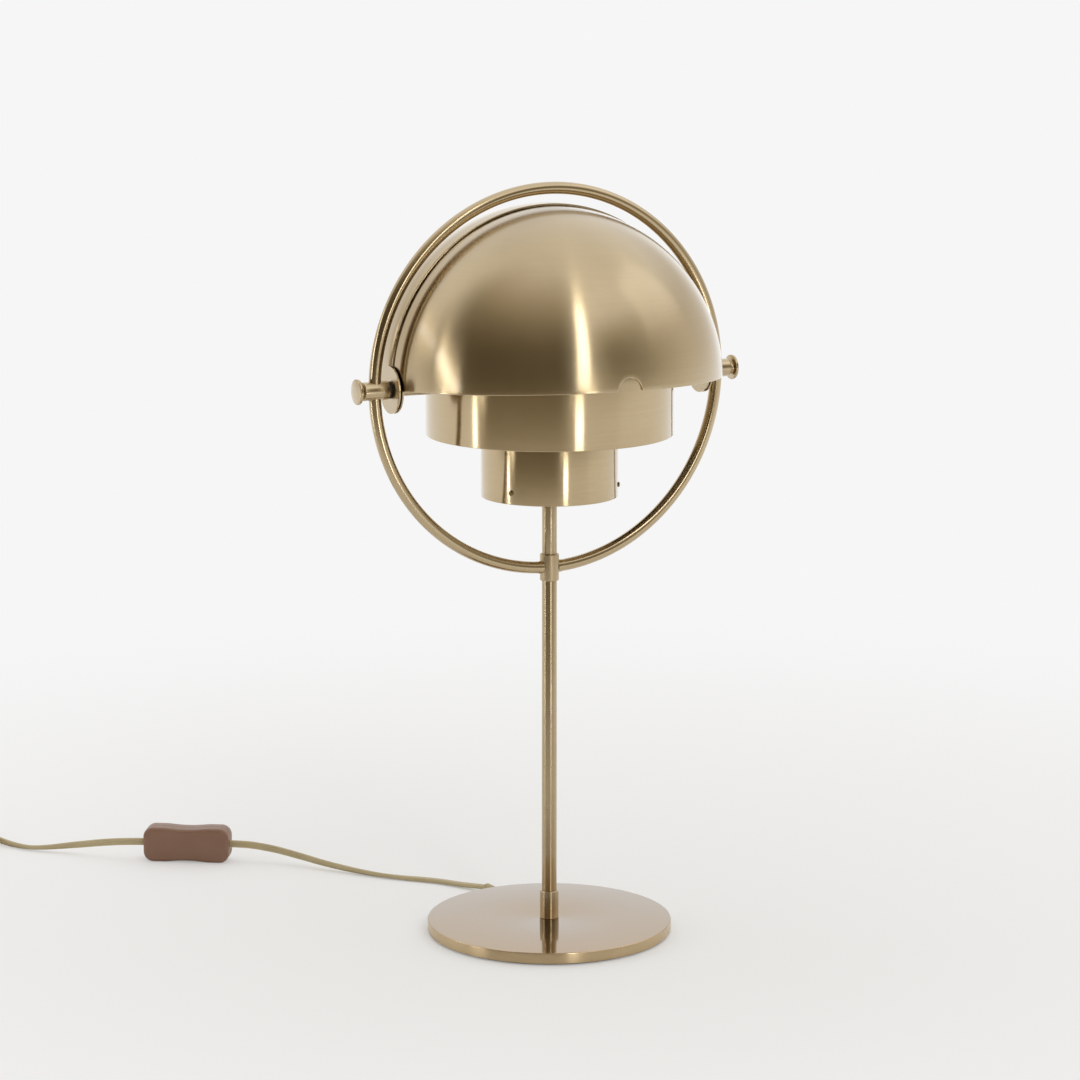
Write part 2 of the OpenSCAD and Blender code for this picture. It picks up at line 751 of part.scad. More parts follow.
module clamp_screws() {
    head_z = cord_z - cord_t / 2 - strap_t - clamp_head_t;
    color("#8d8f92") for (x = [-clamp_screw_x, clamp_screw_x])
        translate([x, strap_y, head_z]) {
            cylinder(d = clamp_head_d, h = clamp_head_t);
            cylinder(d = clamp_screw_d - 0.1, h = recess_top + 1 - head_z, $fn = 32);
        }
}

// Two insulated wires from the clamp, up through the stem to the lamp holder
module inner_wires() {
    rise_z = wire_z + wire_bend;
    color("#7a5a3c") for (x = [-wire_x, wire_x]) translate([x, 0, 0]) {
        translate([0, wire_bend, wire_z]) rotate([-90, 0, 0])
            cylinder(d = wire_d, h = wire_start_y - wire_bend, $fn = 24);
        translate([0, wire_bend, rise_z]) rotate([90, 0, -90]) rotate([0, 0, -90])
            rotate_extrude(angle = 90) translate([wire_bend, 0]) circle(d = wire_d, $fn = 24);
        translate([0, 0, rise_z]) cylinder(d = wire_d, h = wire_top - rise_z, $fn = 24);
    }
}

// ---- switch ----

// Everything of the switch is built about its middle and then stood in place:
// x along the cord, y away from the front, z up from the table
module at_switch() {
    translate(switch_pos) rotate([0, 0, switch_turn]) children();
}

waist_ball = (switch_l * switch_l / 16 + switch_waist * switch_waist) / (2 * switch_waist);
module switch_outline(inset) {
    l = switch_l / 2 - inset;
    w = switch_w / 2 - inset;
    r = max(switch_r - inset, 1);
    difference() {
        union() {
            square([2 * l - 2 * r, 2 * w], center = true);
            square([2 * l, 2 * w - 2 * r], center = true);
            for (x = [-l + r, l - r], y = [-w + r, w - r]) translate([x, y])
                circle(r, $fn = 48);
        }
        for (s = [-1, 1]) translate([0, s * (w + waist_ball - switch_waist)])
            circle(waist_ball, $fn = 180);
    }
}

// A slice of the switch's outline between two distances from its middle plane
module switch_slab(from, to, inset) {
    translate([0, to, switch_mid_z]) rotate([90, 0, 0]) linear_extrude(to - from)
        switch_outline(inset);
}

screw_x = switch_l / 2 - 9;
module switch_near_case() {
    color("#80644f") at_switch() difference() {
        switch_slab(-switch_t / 2, -0.02, 0);
        switch_slab(-switch_t / 2 + case_wall, 1, case_wall + 5);
        for (x = [-screw_x, screw_x]) translate([x, 0, switch_mid_z]) rotate([90, 0, 0])
            cylinder(d = 2.2, h = switch_t / 2 - case_wall, $fn = 32);
    }
}

module switch_far_case() {
    hole_l = rocker_l + 2 * rocker_gap;
    hole_w = rocker_w + 2 * rocker_gap;
    color("#80644f") at_switch() difference() {
        switch_slab(0.02, switch_t / 2, 0);
        translate([-hole_l / 2, -1, switch_mid_z - hole_w / 2]) cube([hole_l, switch_t, hole_w]);
        translate([0, rocker_axis_y, switch_mid_z - hole_w / 2 - trunnion_l])
            cylinder(r = trunnion_r + fit, h = hole_w + 2 * trunnion_l, $fn = 32);
        for (x = [-screw_x, screw_x]) translate([x, -1, switch_mid_z]) rotate([-90, 0, 0]) {
            cylinder(d = 2.4, h = switch_t, $fn = 32);
            translate([0, 0, switch_t / 2 - 1.4]) cylinder(d = 5, h = switch_t, $fn = 32);
        }
    }
}

// Rocker with two faces that meet in a shallow V, on short trunnions
module switch_rocker() {
    rl = rocker_l / 2;
    face = switch_t / 2 - rocker_axis_y;
    color("#765b47") at_switch() translate([0, rocker_axis_y, switch_mid_z])
        rotate([0, 0, rocker_tip]) {
            translate([0, 0, -rocker_half]) linear_extrude(rocker_w) polygon([
                [-rl + 1, -1.6], [rl - 1, -1.6], [rl, face + 1.6],
                [0, face + 0.3], [-rl, face + 1.6]]);
            translate([0, 0, -rocker_half - trunnion_l])
                cylinder(r = trunnion_r, h = rocker_w + 2 * trunnion_l, $fn = 32);
        }
}

module switch_terminals() {
    color("#c8a24a") at_switch() for (x = [-13, 13])
        translate([x - 4, -switch_t / 2 + case_wall, switch_mid_z - 3]) cube([8, 4, 6]);
}

module switch_screws() {
    shank_y = -switch_t / 2 + case_wall + 1;
    color("#8d8f92") at_switch() for (x = [-screw_x, screw_x])
        translate([x, shank_y, switch_mid_z]) rotate([-90, 0, 0]) {
            cylinder(d = 2, h = switch_t / 2 - 2.4 - shank_y, $fn = 32);
            translate([0, 0, switch_t / 2 - 2.4 - shank_y]) cylinder(d = 4.4, h = 1.2, $fn = 32);
        }
}

// ---- cord ----

module cord_lamp() {
    color("#bfb088") cord_tube(lamp_path, [0, 1, 0], -switch_way);
}

module cord_mains() {
    color("#bfb088") cord_tube(mains_path, -switch_way, coil_way);
}

// Flat cord wound on edge: inwards on the table, outwards again on top
module cord_coil() {
    color("#bfb088") skin(coil_rings_list);
}

// Thin band round the coil's turns
tie_a = 250;
module coil_tie() {
    in_r = coil_in_r - cord_t / 2 - 0.3;
    out_r = coil_r + cord_t / 2 + 0.3;
    top = coil_z + coil_layer + cord_w / 2 + 0.1;
    color("#3a3632") translate([coil_x, coil_y, 0]) rotate([0, 0, tie_a])
        translate([0, 2, 0]) rotate([90, 0, 0]) linear_extrude(4) difference() {
            translate([in_r - tie_t, 0]) square([out_r - in_r + 2 * tie_t, top + tie_t]);
            translate([in_r, tie_t]) square([out_r - in_r, top - tie_t]);
        }
}

module cord_plug_end() {
    color("#bfb088") cord_tube(end_path, coil_out_way, [0, -1, 0]);
}

// ---- plug ----

module plug_relief() {
    color("#80644f") translate([plug_x, plug_relief_y, plug_z]) rotate([90, 0, 0])
        cylinder(d1 = cord_w + 0.8, d2 = plug_t - 3, h = plug_relief_l);
}

module plug_body() {
    r = 3;
    shoulder = plug_w / 2 - r;
    back = plug_t / 2 + 1;
    corner = [for (a = [0 : 15 : 90]) [shoulder + r * cos(a), r - plug_l - r * sin(a)]];
    side = concat([[back, 0], [plug_w / 2, -plug_l * 0.55]], corner);
    color("#80644f") translate([plug_x, plug_back_y, 0]) difference() {
        linear_extrude(plug_t)
            polygon(concat(side, [for (k = [len(side) - 1 : -1 : 0]) [-side[k][0], side[k][1]]]));
        for (x = [-pin_gap / 2, pin_gap / 2])
            translate([x, -plug_l - 1, plug_z]) rotate([-90, 0, 0])
                cylinder(d = pin_root_d + 2 * fit, h = pin_root_l + 1, $fn = 32);
    }
}

module plug_pins() {
    tip_l = 1;
    color("#c4c6c8") for (x = [-pin_gap / 2, pin_gap / 2])
        translate([plug_x + x, plug_face_y, plug_z]) rotate([90, 0, 0]) {
            translate([0, 0, -pin_root_l]) cylinder(d = pin_root_d, h = pin_root_l, $fn = 32);
            cylinder(d = pin_d, h = pin_l - tip_l, $fn = 32);
            translate([0, 0, pin_l - tip_l])
                cylinder(d1 = pin_d, d2 = pin_d - 1.6, h = tip_l, $fn = 32);
        }
}

base_plate();
base_pad();
stem_socket();
base_nut();
stem_lower();
ring_collar();
stem_upper();
ring_tube();
barrel_left();
barrel_right();
pivot_screw_left();
pivot_screw_right();
outer_washers();
middle_washers();
inner_washers();
pivot_spacers();
pivot_nuts();
rear_shade();
front_shade();
drum();
sleeve();
drum_carrier();
holder_cup();
sleeve_screws();
holder_nuts();
lamp_holder();
holder_contact();
bulb_tip();
bulb_cap();
bulb_globe();
cord_relief();
cord_tail();
cord_clamp();
clamp_screws();
inner_wires();
switch_near_case();
switch_far_case();
switch_rocker();
switch_terminals();
switch_screws();
cord_lamp();
cord_mains();
cord_coil();
coil_tie();
cord_plug_end();
plug_relief();
plug_body();
plug_pins();
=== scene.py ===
import math

import bmesh
import bpy
from mathutils import Matrix, Vector


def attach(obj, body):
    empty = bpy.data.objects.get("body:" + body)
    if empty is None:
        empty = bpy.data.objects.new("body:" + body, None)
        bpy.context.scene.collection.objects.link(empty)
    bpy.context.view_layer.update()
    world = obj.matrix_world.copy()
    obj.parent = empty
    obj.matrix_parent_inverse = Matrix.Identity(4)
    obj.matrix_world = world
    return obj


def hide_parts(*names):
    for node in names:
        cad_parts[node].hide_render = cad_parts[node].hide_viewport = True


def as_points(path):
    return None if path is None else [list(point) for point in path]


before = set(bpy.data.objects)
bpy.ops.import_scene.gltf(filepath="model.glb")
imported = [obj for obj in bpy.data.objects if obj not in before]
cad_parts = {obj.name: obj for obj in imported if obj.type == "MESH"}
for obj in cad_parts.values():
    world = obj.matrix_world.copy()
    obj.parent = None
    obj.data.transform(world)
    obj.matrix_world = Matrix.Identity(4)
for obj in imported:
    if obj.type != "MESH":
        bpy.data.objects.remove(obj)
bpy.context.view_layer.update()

# ---- Studio --------------------------------------------------------------
# A pale table top in a white room that is dim and slightly warm behind the camera, which
# the brass mirrors. Narrow strip lights stand on both sides of the camera, and a wide soft
# light, like a window, further round to the right.

scene = bpy.context.scene
scene.view_settings.view_transform = "Standard"
MM = 0.001
WHITE = (1.0, 1.0, 1.0, 1.0)


def paint(code):
    """An sRGB hex colour as linear RGBA."""
    parts = [int(code[i:i + 2], 16) / 255 for i in (1, 3, 5)]
    linear = [p / 12.92 if p <= 0.04045 else ((p + 0.055) / 1.055) ** 2.4 for p in parts]
    return (*linear, 1.0)


def add(tree, kind, inputs=None, **settings):
    """Adds a shader node with its settings, and fills or links its inputs."""
    node = tree.nodes.new("ShaderNode" + kind)
    for key, value in settings.items():
        setattr(node, key, value)
    for key, value in (inputs or {}).items():
        if isinstance(value, bpy.types.NodeSocket):
            tree.links.new(value, node.inputs[key])
        else:
            node.inputs[key].default_value = value
    return node


def new_finish(name):
    """An empty material and its node tree."""
    finish = bpy.data.materials.new(name)
    finish.use_nodes = True
    finish.node_tree.nodes.clear()
    return finish, finish.node_tree


def arc(x, y, r, angles):
    """Points on a circle round x, y at angles in degrees."""
    return [(x + r * math.cos(math.radians(a)), y + r * math.sin(math.radians(a)))
            for a in angles]


# The photograph's viewpoint: 2.2 m from the lamp and a little above its shade
VIEW_WAY = Vector((0.44017, 0.87933, -0.18175))
lens = bpy.data.cameras.new("photo_camera")
lens.lens = 113.525
lens.sensor_width = 36.0
camera = bpy.data.objects.new("photo_camera", lens)
camera.location = (-0.9899, -1.9637, 0.6717)
camera.rotation_euler = VIEW_WAY.to_track_quat("-Z", "Y").to_euler()
scene.collection.objects.link(camera)
scene.camera = camera

# The room as the lamp sees it: turn is the bearing from the camera's, to the right, and
# rise the sine of the height
BACKDROP = "#F6F6F6"
TO_CAMERA, TO_RIGHT = (-0.450, -0.893, 0.0), (0.893, -0.450, 0.0)
room = bpy.data.worlds.new("studio_room")
room.use_nodes = True
scene.world = room
walls = room.node_tree
walls.nodes.clear()
way = add(walls, "TexCoord").outputs["Generated"]
ahead = add(walls, "VectorMath", {0: way, 1: TO_CAMERA}, operation="DOT_PRODUCT").outputs["Value"]
right = add(walls, "VectorMath", {0: way, 1: TO_RIGHT}, operation="DOT_PRODUCT").outputs["Value"]
turn = add(walls, "Math", {0: right, 1: ahead}, operation="ARCTAN2").outputs[0]
rise = add(walls, "SeparateXYZ", {0: way}).outputs["Z"]
height = add(walls, "Math", {0: rise, 1: 0.5, 2: 0.5}, operation="MULTIPLY_ADD").outputs[0]


def past(bearing, start, end, first=0.0, last=1.0):
    """Eases from first to last as the bearing goes from start to end, in degrees."""
    eased_step = add(walls, "MapRange", {
        "Value": bearing, "From Min": math.radians(start), "From Max": math.radians(end),
        "To Min": first, "To Max": last}, interpolation_type="SMOOTHSTEP")
    return eased_step.outputs["Result"]


def wall(*stops):
    """A wall's light from below (-1) to overhead (1), slightly warm where it is dim."""
    levels = add(walls, "ValToRGB", {"Fac": height})
    bar = levels.color_ramp.elements
    while len(bar) < len(stops):
        bar.new(0.5)
    for stop, (sine, value) in zip(bar, stops):
        stop.position = sine * 0.5 + 0.5
        warm = max(0.0, 1.0 - value)
        stop.color = (value, value * (1 - 0.20 * warm), value * (1 - 0.52 * warm), 1.0)
    return levels.outputs["Color"]


front_wall = wall((-0.50, 0.40), (-0.20, 0.27), (-0.04, 0.17), (0.12, 0.098), (0.36, 0.10),
                  (0.50, 0.145), (0.63, 0.235), (0.75, 0.41), (0.88, 0.66), (0.95, 0.82),
                  (1.0, 1.0))
right_wall = wall((-0.50, 0.95), (-0.15, 0.95), (0.0, 0.42), (0.12, 0.20), (0.30, 0.16),
                  (0.42, 0.25), (0.55, 0.42), (0.69, 1.2), (0.76, 1.25), (1.0, 1.08))
side_walls = wall((-0.50, 1.05), (-0.10, 1.0), (0.08, 0.78), (0.34, 0.76), (0.60, 1.03),
                  (1.0, 1.02))
back_wall = (1.02, 1.02, 1.02, 1.0)

# The dim part ends softly on the walls, and crisply on the table's edge below them
below = add(walls, "MapRange", {"Value": rise, "From Min": -0.13, "From Max": -0.05,
                                "To Min": 1.0, "To Max": 0.0},
            interpolation_type="SMOOTHSTEP").outputs["Result"]
ends = [add(walls, "Mix", {0: below, 2: past(turn, *soft, outside, inside),
                           3: past(turn, *crisp, outside, inside)}).outputs[0]
        for soft, crisp, outside, inside in (((-104, -70), (-72, -66), 0.0, 1.0),
                                             ((45, 118), (64, 72), 1.0, 0.0))]
dim = add(walls, "Math", {0: ends[0], 1: ends[1]}, operation="MULTIPLY").outputs[0]
dark = add(walls, "Mix", {0: past(turn, 24, 34), 6: front_wall, 7: right_wall},
           data_type="RGBA").outputs[2]
# a haze of light round the strip on the right
haze = add(walls, "Math", {0: past(turn, 6, 26, 0.0, 0.3), 1: past(turn, 28, 46, 1.0, 0.0)},
           operation="MULTIPLY").outputs[0]
dark = add(walls, "Mix", {0: haze, 6: dark, 7: WHITE}, data_type="RGBA").outputs[2]
behind = add(walls, "Math", {0: turn}, operation="ABSOLUTE").outputs[0]
far = add(walls, "Mix", {0: past(behind, 146, 170), 6: side_walls, 7: back_wall},
          data_type="RGBA").outputs[2]
mirrored = add(walls, "Mix", {0: dim, 6: far, 7: dark}, data_type="RGBA").outputs[2]
seen = add(walls, "LightPath").outputs["Is Camera Ray"]
shown = add(walls, "Mix", {0: seen, 6: mirrored, 7: paint(BACKDROP)}, data_type="RGBA").outputs[2]
light = add(walls, "Background", {"Color": shown})
add(walls, "OutputWorld", {"Surface": light.outputs[0]})

# The lights: foot and head as a bearing from the camera's and a height in metres, then the
# width in metres and the watts
CAMERA_BEARING, LIGHT_DISTANCE = -116.7, 2.0
for name, foot, head, width, watts in (
        ("strip_right", (21.3, 0.42), (28, 3.2), 0.28, 9.5),
        ("strip_right_low", (27.2, -0.45), (27.2, 0.02), 0.24, 2.5),
        ("strip_left", (-60, 0.25), (-80, 0.93), 0.26, 3.4),
        ("strip_left_top", (-84, 0.97), (-106, 1.12), 0.2, 0.95),
        ("strip_left_low", (-72.2, -0.45), (-72.2, 0.02), 0.12, 1.35),
        ("window_right", (97, 1.35), (104, 3.2), 1.6, 2.8)):
    low, high = (Vector((*arc(0, 0, LIGHT_DISTANCE, [CAMERA_BEARING + bearing])[0], up))
                 for bearing, up in (foot, head))
    long_way = (high - low).normalized()
    middle = (low + high) / 2
    back = Vector((middle.x, middle.y, 0)).normalized()
    back = (back - long_way * back.dot(long_way)).normalized()
    strip = bpy.data.lights.new(name, "AREA")
    strip.shape = "RECTANGLE"
    strip.size = width
    strip.size_y = (high - low).length
    strip.energy = watts
    holder = bpy.data.objects.new(name, strip)
    turned_to = Matrix((long_way.cross(back), long_way, back)).transposed()
    holder.matrix_world = Matrix.Translation(middle) @ turned_to.to_4x4()
    holder.visible_camera = False
    scene.collection.objects.link(holder)

# Table top, 3 m across: lit white near the lamp, melting into the backdrop further out, and
# for the brass it ends where the room begins
TABLE_R, TABLE_Z = 1.5, -0.0002
finish, tree = new_finish("white_table_top")
place = add(tree, "NewGeometry").outputs["Position"]
flat_place = add(tree, "VectorMath", {0: place, 1: (1.0, 1.0, 0.0)},
                 operation="MULTIPLY").outputs["Vector"]
away = add(tree, "VectorMath", {0: flat_place}, operation="LENGTH").outputs["Value"]
lit = add(tree, "BsdfDiffuse", {"Color": paint("#F5F5F4")})
clear = add(tree, "BsdfTransparent", {"Color": WHITE})
plain = add(tree, "Emission", {"Color": paint(BACKDROP)})
views = []
for near, out, least, beyond in ((0.35, 1.35, 0.0, clear), (0.12, 1.1, 0.32, plain)):
    share = add(tree, "MapRange", {"Value": away, "From Min": near, "From Max": out,
                                   "To Min": least, "To Max": 1.0},
                interpolation_type="SMOOTHSTEP").outputs["Result"]
    views.append(add(tree, "MixShader", {0: share, 1: lit.outputs[0], 2: beyond.outputs[0]}))
seen = add(tree, "LightPath").outputs["Is Camera Ray"]
both = add(tree, "MixShader", {0: seen, 1: views[0].outputs[0], 2: views[1].outputs[0]})
add(tree, "OutputMaterial", {"Surface": both.outputs[0]})
table = bpy.data.meshes.new("table_top")
rim = [(x, y, TABLE_Z) for x, y in arc(0, 0, TABLE_R, range(0, 360, 3))]
table.from_pydata(rim, [], [list(range(len(rim)))])
table.materials.append(finish)
floor = bpy.data.objects.new("table_top", table)
scene.collection.objects.link(floor)

# ---- Lead ----------------------------------------------------------------
# Flat twin lead with a gold-tinted PVC sheath, 5.2 x 3 mm, in two lengths: from the base to
# the switch, and from the switch to the stored coil and plug.

CORD_W, CORD_T, CORD_WAIST = 5.2, 3.0, 2.32
ROUTE_STEPS = 10


def unit(v):
    return Vector(v).normalized()


def smooth(t):
    """Eases from 0 to 1, level at both ends."""
    t = min(1.0, max(0.0, t))
    return t * t * (3 - 2 * t)


def smooth_route(points):
    """Catmull-Rom curve through rows of numbers."""
    rows, last = [], len(points) - 1
    for i in range(last):
        a, b, c, d = (points[k] for k in (max(i - 1, 0), i, i + 1, min(i + 2, last)))
        for s in range(ROUTE_STEPS):
            t = s / ROUTE_STEPS
            rows.append([0.5 * (2 * q + (r - p) * t + (2 * p - 5 * q + 4 * r - w) * t * t
                                + (3 * q - p - 3 * r + w) * t ** 3)
                         for p, q, r, w in zip(a, b, c, d)])
    rows.append(list(points[-1]))
    return rows


def twin_section():
    """Outline of the twin lead: two round cores with a shallow groove between."""
    lobe = arc(CORD_W / 2 - CORD_T / 2, 0, CORD_T / 2, range(-120, 121, 20))
    return lobe + [(0, CORD_WAIST / 2)] + [(-x, -y) for x, y in lobe] + [(0, -CORD_WAIST / 2)]


def loft(rings, capped=True):
    """Points and faces of a skin over like rings of points."""
    n, points = len(rings[0]), [p for ring in rings for p in ring]
    faces = [(a + k, a + (k + 1) % n, a + n + (k + 1) % n, a + n + k)
             for a in range(0, len(points) - n, n) for k in range(n)]
    if capped:
        faces += [tuple(range(n)), tuple(range(len(points) - n, len(points)))]
    return points, faces


def mesh_object(name, points, faces, finish, sharp=40):
    """A smooth mesh from points in millimetres, welded, with its normals outwards."""
    mesh = bpy.data.meshes.new(name)
    mesh.from_pydata([Vector(p) * MM for p in points], [], faces)
    work = bmesh.new()
    work.from_mesh(mesh)
    bmesh.ops.remove_doubles(work, verts=work.verts, dist=1e-7)
    bmesh.ops.dissolve_degenerate(work, edges=work.edges, dist=1e-8)
    bmesh.ops.recalc_face_normals(work, faces=work.faces)
    work.to_mesh(mesh)
    work.free()
    mesh.shade_smooth()
    mesh.set_sharp_from_angle(angle=math.radians(sharp))
    mesh.materials.append(finish)
    thing = bpy.data.objects.new(name, mesh)
    scene.collection.objects.link(thing)
    return thing


def stand_for(thing, body, slot, *nodes):
    """The piece rides on its body and takes the place of its CAD nodes."""
    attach(thing, body)
    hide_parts(*nodes)


def mottled(name, dark, light, patch, grain, gloss):
    """A material in two close tones: patch is the size in mm and detail of their patches,
    grain the size, detail, strength and depth in mm of a fine bump, gloss the shader's own."""
    finish, tree = new_finish(name)
    where = add(tree, "TexCoord").outputs["Object"]
    size, detail = patch
    cloud = add(tree, "TexNoise", {"Vector": where, "Scale": 1 / (size * MM),
                                   "Detail": detail}).outputs["Fac"]
    look = {"Base Color": add(tree, "Mix", {0: cloud, 6: paint(dark), 7: paint(light)},
                              data_type="RGBA").outputs[2]}
    if grain:
        size, detail, strength, depth = grain
        fine = add(tree, "TexNoise", {"Vector": where, "Scale": 1 / (size * MM),
                                      "Detail": detail}).outputs["Fac"]
        look["Normal"] = add(tree, "Bump", {"Height": fine, "Strength": strength,
                                            "Distance": depth * MM}).outputs[0]
    body = add(tree, "BsdfPrincipled", {**look, **gloss})
    add(tree, "OutputMaterial", {"Surface": body.outputs[0]})
    return finish


def lead(name, path, first_way, last_way):
    """The twin section swept along rows of x, y, z and roll in degrees."""
    spots = [Vector(row[:3]) for row in path]
    ways = [first_way, *(b - a for a, b in zip(spots, spots[2:])), last_way]
    rings = []
    for at, way, row in zip(spots, ways, path):
        way = unit(way)
        side = unit(Vector((0, 0, 1)).cross(way))
        up = way.cross(side)
        roll = math.radians(row[3])
        wide = side * math.cos(roll) + up * math.sin(roll)
        thin = up * math.cos(roll) - side * math.sin(roll)
        rings.append([at + wide * x + thin * y for x, y in twin_section()])
    return mesh_object(name, *loft(rings), cord_sheath, sharp=50)


# Soft PVC sheath: low gloss, and the gold tint drifts a little along the length
cord_sheath = mottled("gold_tinted_pvc_sheath", "#B3A37C", "#CDBE96", (22.2, 2),
                      (1.11, 2, 0.25, 0.1), {"Roughness": 0.42, "IOR": 1.52})

# Route points: x, y, z in millimetres and the roll in degrees (0 flat, 90 on edge)
SWITCH_POS, SWITCH_TURN, SWITCH_L, SWITCH_W = Vector((-156, 268, 0)), -32, 62, 25
switch_way = Vector((*arc(0, 0, 1, [SWITCH_TURN])[0], 0))
switch_mid = SWITCH_POS + Vector((0, 0, SWITCH_W / 2))
switch_near = switch_mid + switch_way * SWITCH_L / 2
switch_far = switch_mid - switch_way * SWITCH_L / 2
CORD_EXIT = (0, 96, 3.9)
lamp_route = [
    (-4, 105, 2.9, 0), (-11, 117, 2, 0), (-20, 131, 1.7, 0), (-30, 142, 1.6, 0),
    (-41, 153, 1.6, 10), (-54, 168, 1.9, 25), (-66, 184, 2.8, 45), (-78, 201, 4.4, 60),
    (-90, 219, 6.8, 75), (-103, 234, 9.6, 85), (-116, 243.5, 11.8, 90),
]
mains_route = [
    (-197, 294, 12, 90), (-208, 304, 10.2, 85), (-219, 315, 7.6, 70), (-229, 325, 5.2, 50),
    (-239, 333, 3.4, 30), (-249, 342, 2.2, 20), (-257, 353, 2.2, 40), (-264, 368, 2.9, 70),
]
lamp_path = smooth_route([(*CORD_EXIT, 0), *lamp_route,
                          (*(switch_near + switch_way * CORD_W), 90), (*switch_near, 90)])

# The coil spirals in on the table in its lower layer and out again on top
COIL_X, COIL_Y, COIL_R, COIL_START, COIL_TURNS = -306, 384, 37, 20, 7.44
COIL_PITCH, COIL_LAYER, COIL_CLIMB, TIE_T = 4.4, 6, 0.5, 0.7
coil_z = TIE_T + 0.1 + CORD_W / 2
coil_half = (COIL_TURNS - COIL_CLIMB) / 2
coil_in_r = COIL_R - COIL_PITCH * coil_half


def coil_point(u):
    r = coil_in_r + COIL_PITCH * max(coil_half - u, u - coil_half - COIL_CLIMB, 0)
    spot = arc(COIL_X, COIL_Y, r, [COIL_START + 360 * u])[0]
    return Vector((*spot, coil_z + COIL_LAYER * smooth((u - coil_half) / COIL_CLIMB)))


def coil_heading(u):
    return Vector((*arc(0, 0, 1, [COIL_START + 360 * u + 90])[0], 0))


coil_from = coil_point(0) - coil_heading(0) * CORD_W
coil_to = coil_point(COIL_TURNS) + coil_heading(COIL_TURNS) * CORD_W
PLUG_X, PLUG_L, PLUG_W, PLUG_T, RELIEF_L = COIL_X - COIL_R, 36, 35, 13.6, 22
plug_z = PLUG_T / 2
relief_y = COIL_Y - 34
plug_back_y = relief_y - RELIEF_L
coil_steps = round(COIL_TURNS * 40)
coil_lay = [(*coil_point(k * COIL_TURNS / coil_steps), 90) for k in range(coil_steps + 1)]
mains_path = smooth_route([(*switch_far, 90), (*(switch_far - switch_way * CORD_W), 90),
                           *mains_route, (*coil_from, 90)])
end_path = smooth_route([(*coil_to, 90),
                         (*(coil_to + coil_heading(COIL_TURNS) * 8 - Vector((0, 0, 0.6))), 65),
                         (PLUG_X, relief_y + 10, plug_z + 0.3, 25),
                         (PLUG_X, relief_y, plug_z, 0)])
supply_path = mains_path + coil_lay + end_path


def run_of(path):
    return [[c * MM for c in row[:3]] for row in path]


lamp_lead = lead("lead_to_switch", lamp_path, (0, 1, 0), -switch_way)
stand_for(lamp_lead, "stand", "cord_tan", "cord_lamp")
supply_lead = lead("lead_to_plug", supply_path, -switch_way, (0, -1, 0))
stand_for(supply_lead, "stand", "cord_tan", "cord_mains", "cord_coil", "cord_plug_end")

# ---- Coil band -----------------------------------------------------------
# Thin black rubber band, 4 mm wide, that holds the coil's turns together. It is stretched
# round them to a frame with rounded corners.

TIE_TURN, TIE_W, TIE_BEND, TIE_GAP = 250, 4, 0.6, 0.3


def black_rubber(name, tone, roughness):
    """Black rubber or fibre: matt, a little dusty, with a fine grain."""
    return mottled(name, tone, "#3A3733", (6.25, 3), (0.4, 2, 0.3, 0.08),
                   {"Roughness": roughness})


band_rubber = black_rubber("black_band_rubber", "#1E1C1A", 0.55)
# the corners' middles, in the plane through the coil's axis
tie_in = coil_in_r - CORD_T / 2 - TIE_GAP + TIE_BEND
tie_out = COIL_R + CORD_T / 2 + TIE_GAP - TIE_BEND
tie_low = TIE_T + TIE_BEND
tie_high = coil_z + COIL_LAYER + CORD_W / 2 + 0.1 - TIE_BEND


def band_line(grow, side):
    """One of the band's four edges, set where the band stands on the coil."""
    line = []
    for k, (x, z) in enumerate(((tie_in, tie_low), (tie_out, tie_low), (tie_out, tie_high),
                                (tie_in, tie_high))):
        line += arc(x, z, TIE_BEND + grow, [180 + 90 * k + 22.5 * s for s in range(5)])
    ca, sa = arc(0, 0, 1, [TIE_TURN])[0]
    y = side * TIE_W / 2
    return [(COIL_X + x * ca - y * sa, COIL_Y + x * sa + y * ca, z) for x, z in line]


edges = [band_line(grow, side) for grow, side in ((0.0, -1), (TIE_T, -1), (TIE_T, 1), (0.0, 1),
                                                  (0.0, -1))]
coil_band = mesh_object("coil_band", *loft(edges, capped=False), band_rubber)
stand_for(coil_band, "stand", "tie_black", "coil_tie")

# ---- Plug ----------------------------------------------------------------
# Two-pin plug moulded in brown PVC with a ribbed sleeve for the lead; the solid pins are
# turned brass, nickel-plated.

CORNER_PULL = 0.17
LATHE_WAYS = {"Z": lambda x, y, z: (x, y, z), "X": lambda x, y, z: (z, x, y),
              "-X": lambda x, y, z: (-z, y, x), "Y": lambda x, y, z: (y, z, x),
              "-Y": lambda x, y, z: (x, -z, y)}


def eased(outline, r, steps=4, closed=True):
    """The outline with each corner eased to an arc about r wide; an open one keeps its ends."""
    n, out = len(outline), []
    for i, here in enumerate(outline):
        if not closed and i in (0, n - 1):
            out.append(tuple(here))
            continue
        p, a, b = Vector(here), Vector(outline[i - 1]), Vector(outline[(i + 1) % n])
        cut = min(r, 0.49 * (a - p).length, 0.49 * (b - p).length)
        p0, p2 = p + (a - p).normalized() * cut, p + (b - p).normalized() * cut
        mid = p * (1 - CORNER_PULL) + (p0 + p2) * (CORNER_PULL / 2)
        for s in range(steps + 1):
            t = s / steps
            out.append(tuple(p0 * (1 - t) ** 2 + mid * 2 * t * (1 - t) + p2 * t * t))
    return out


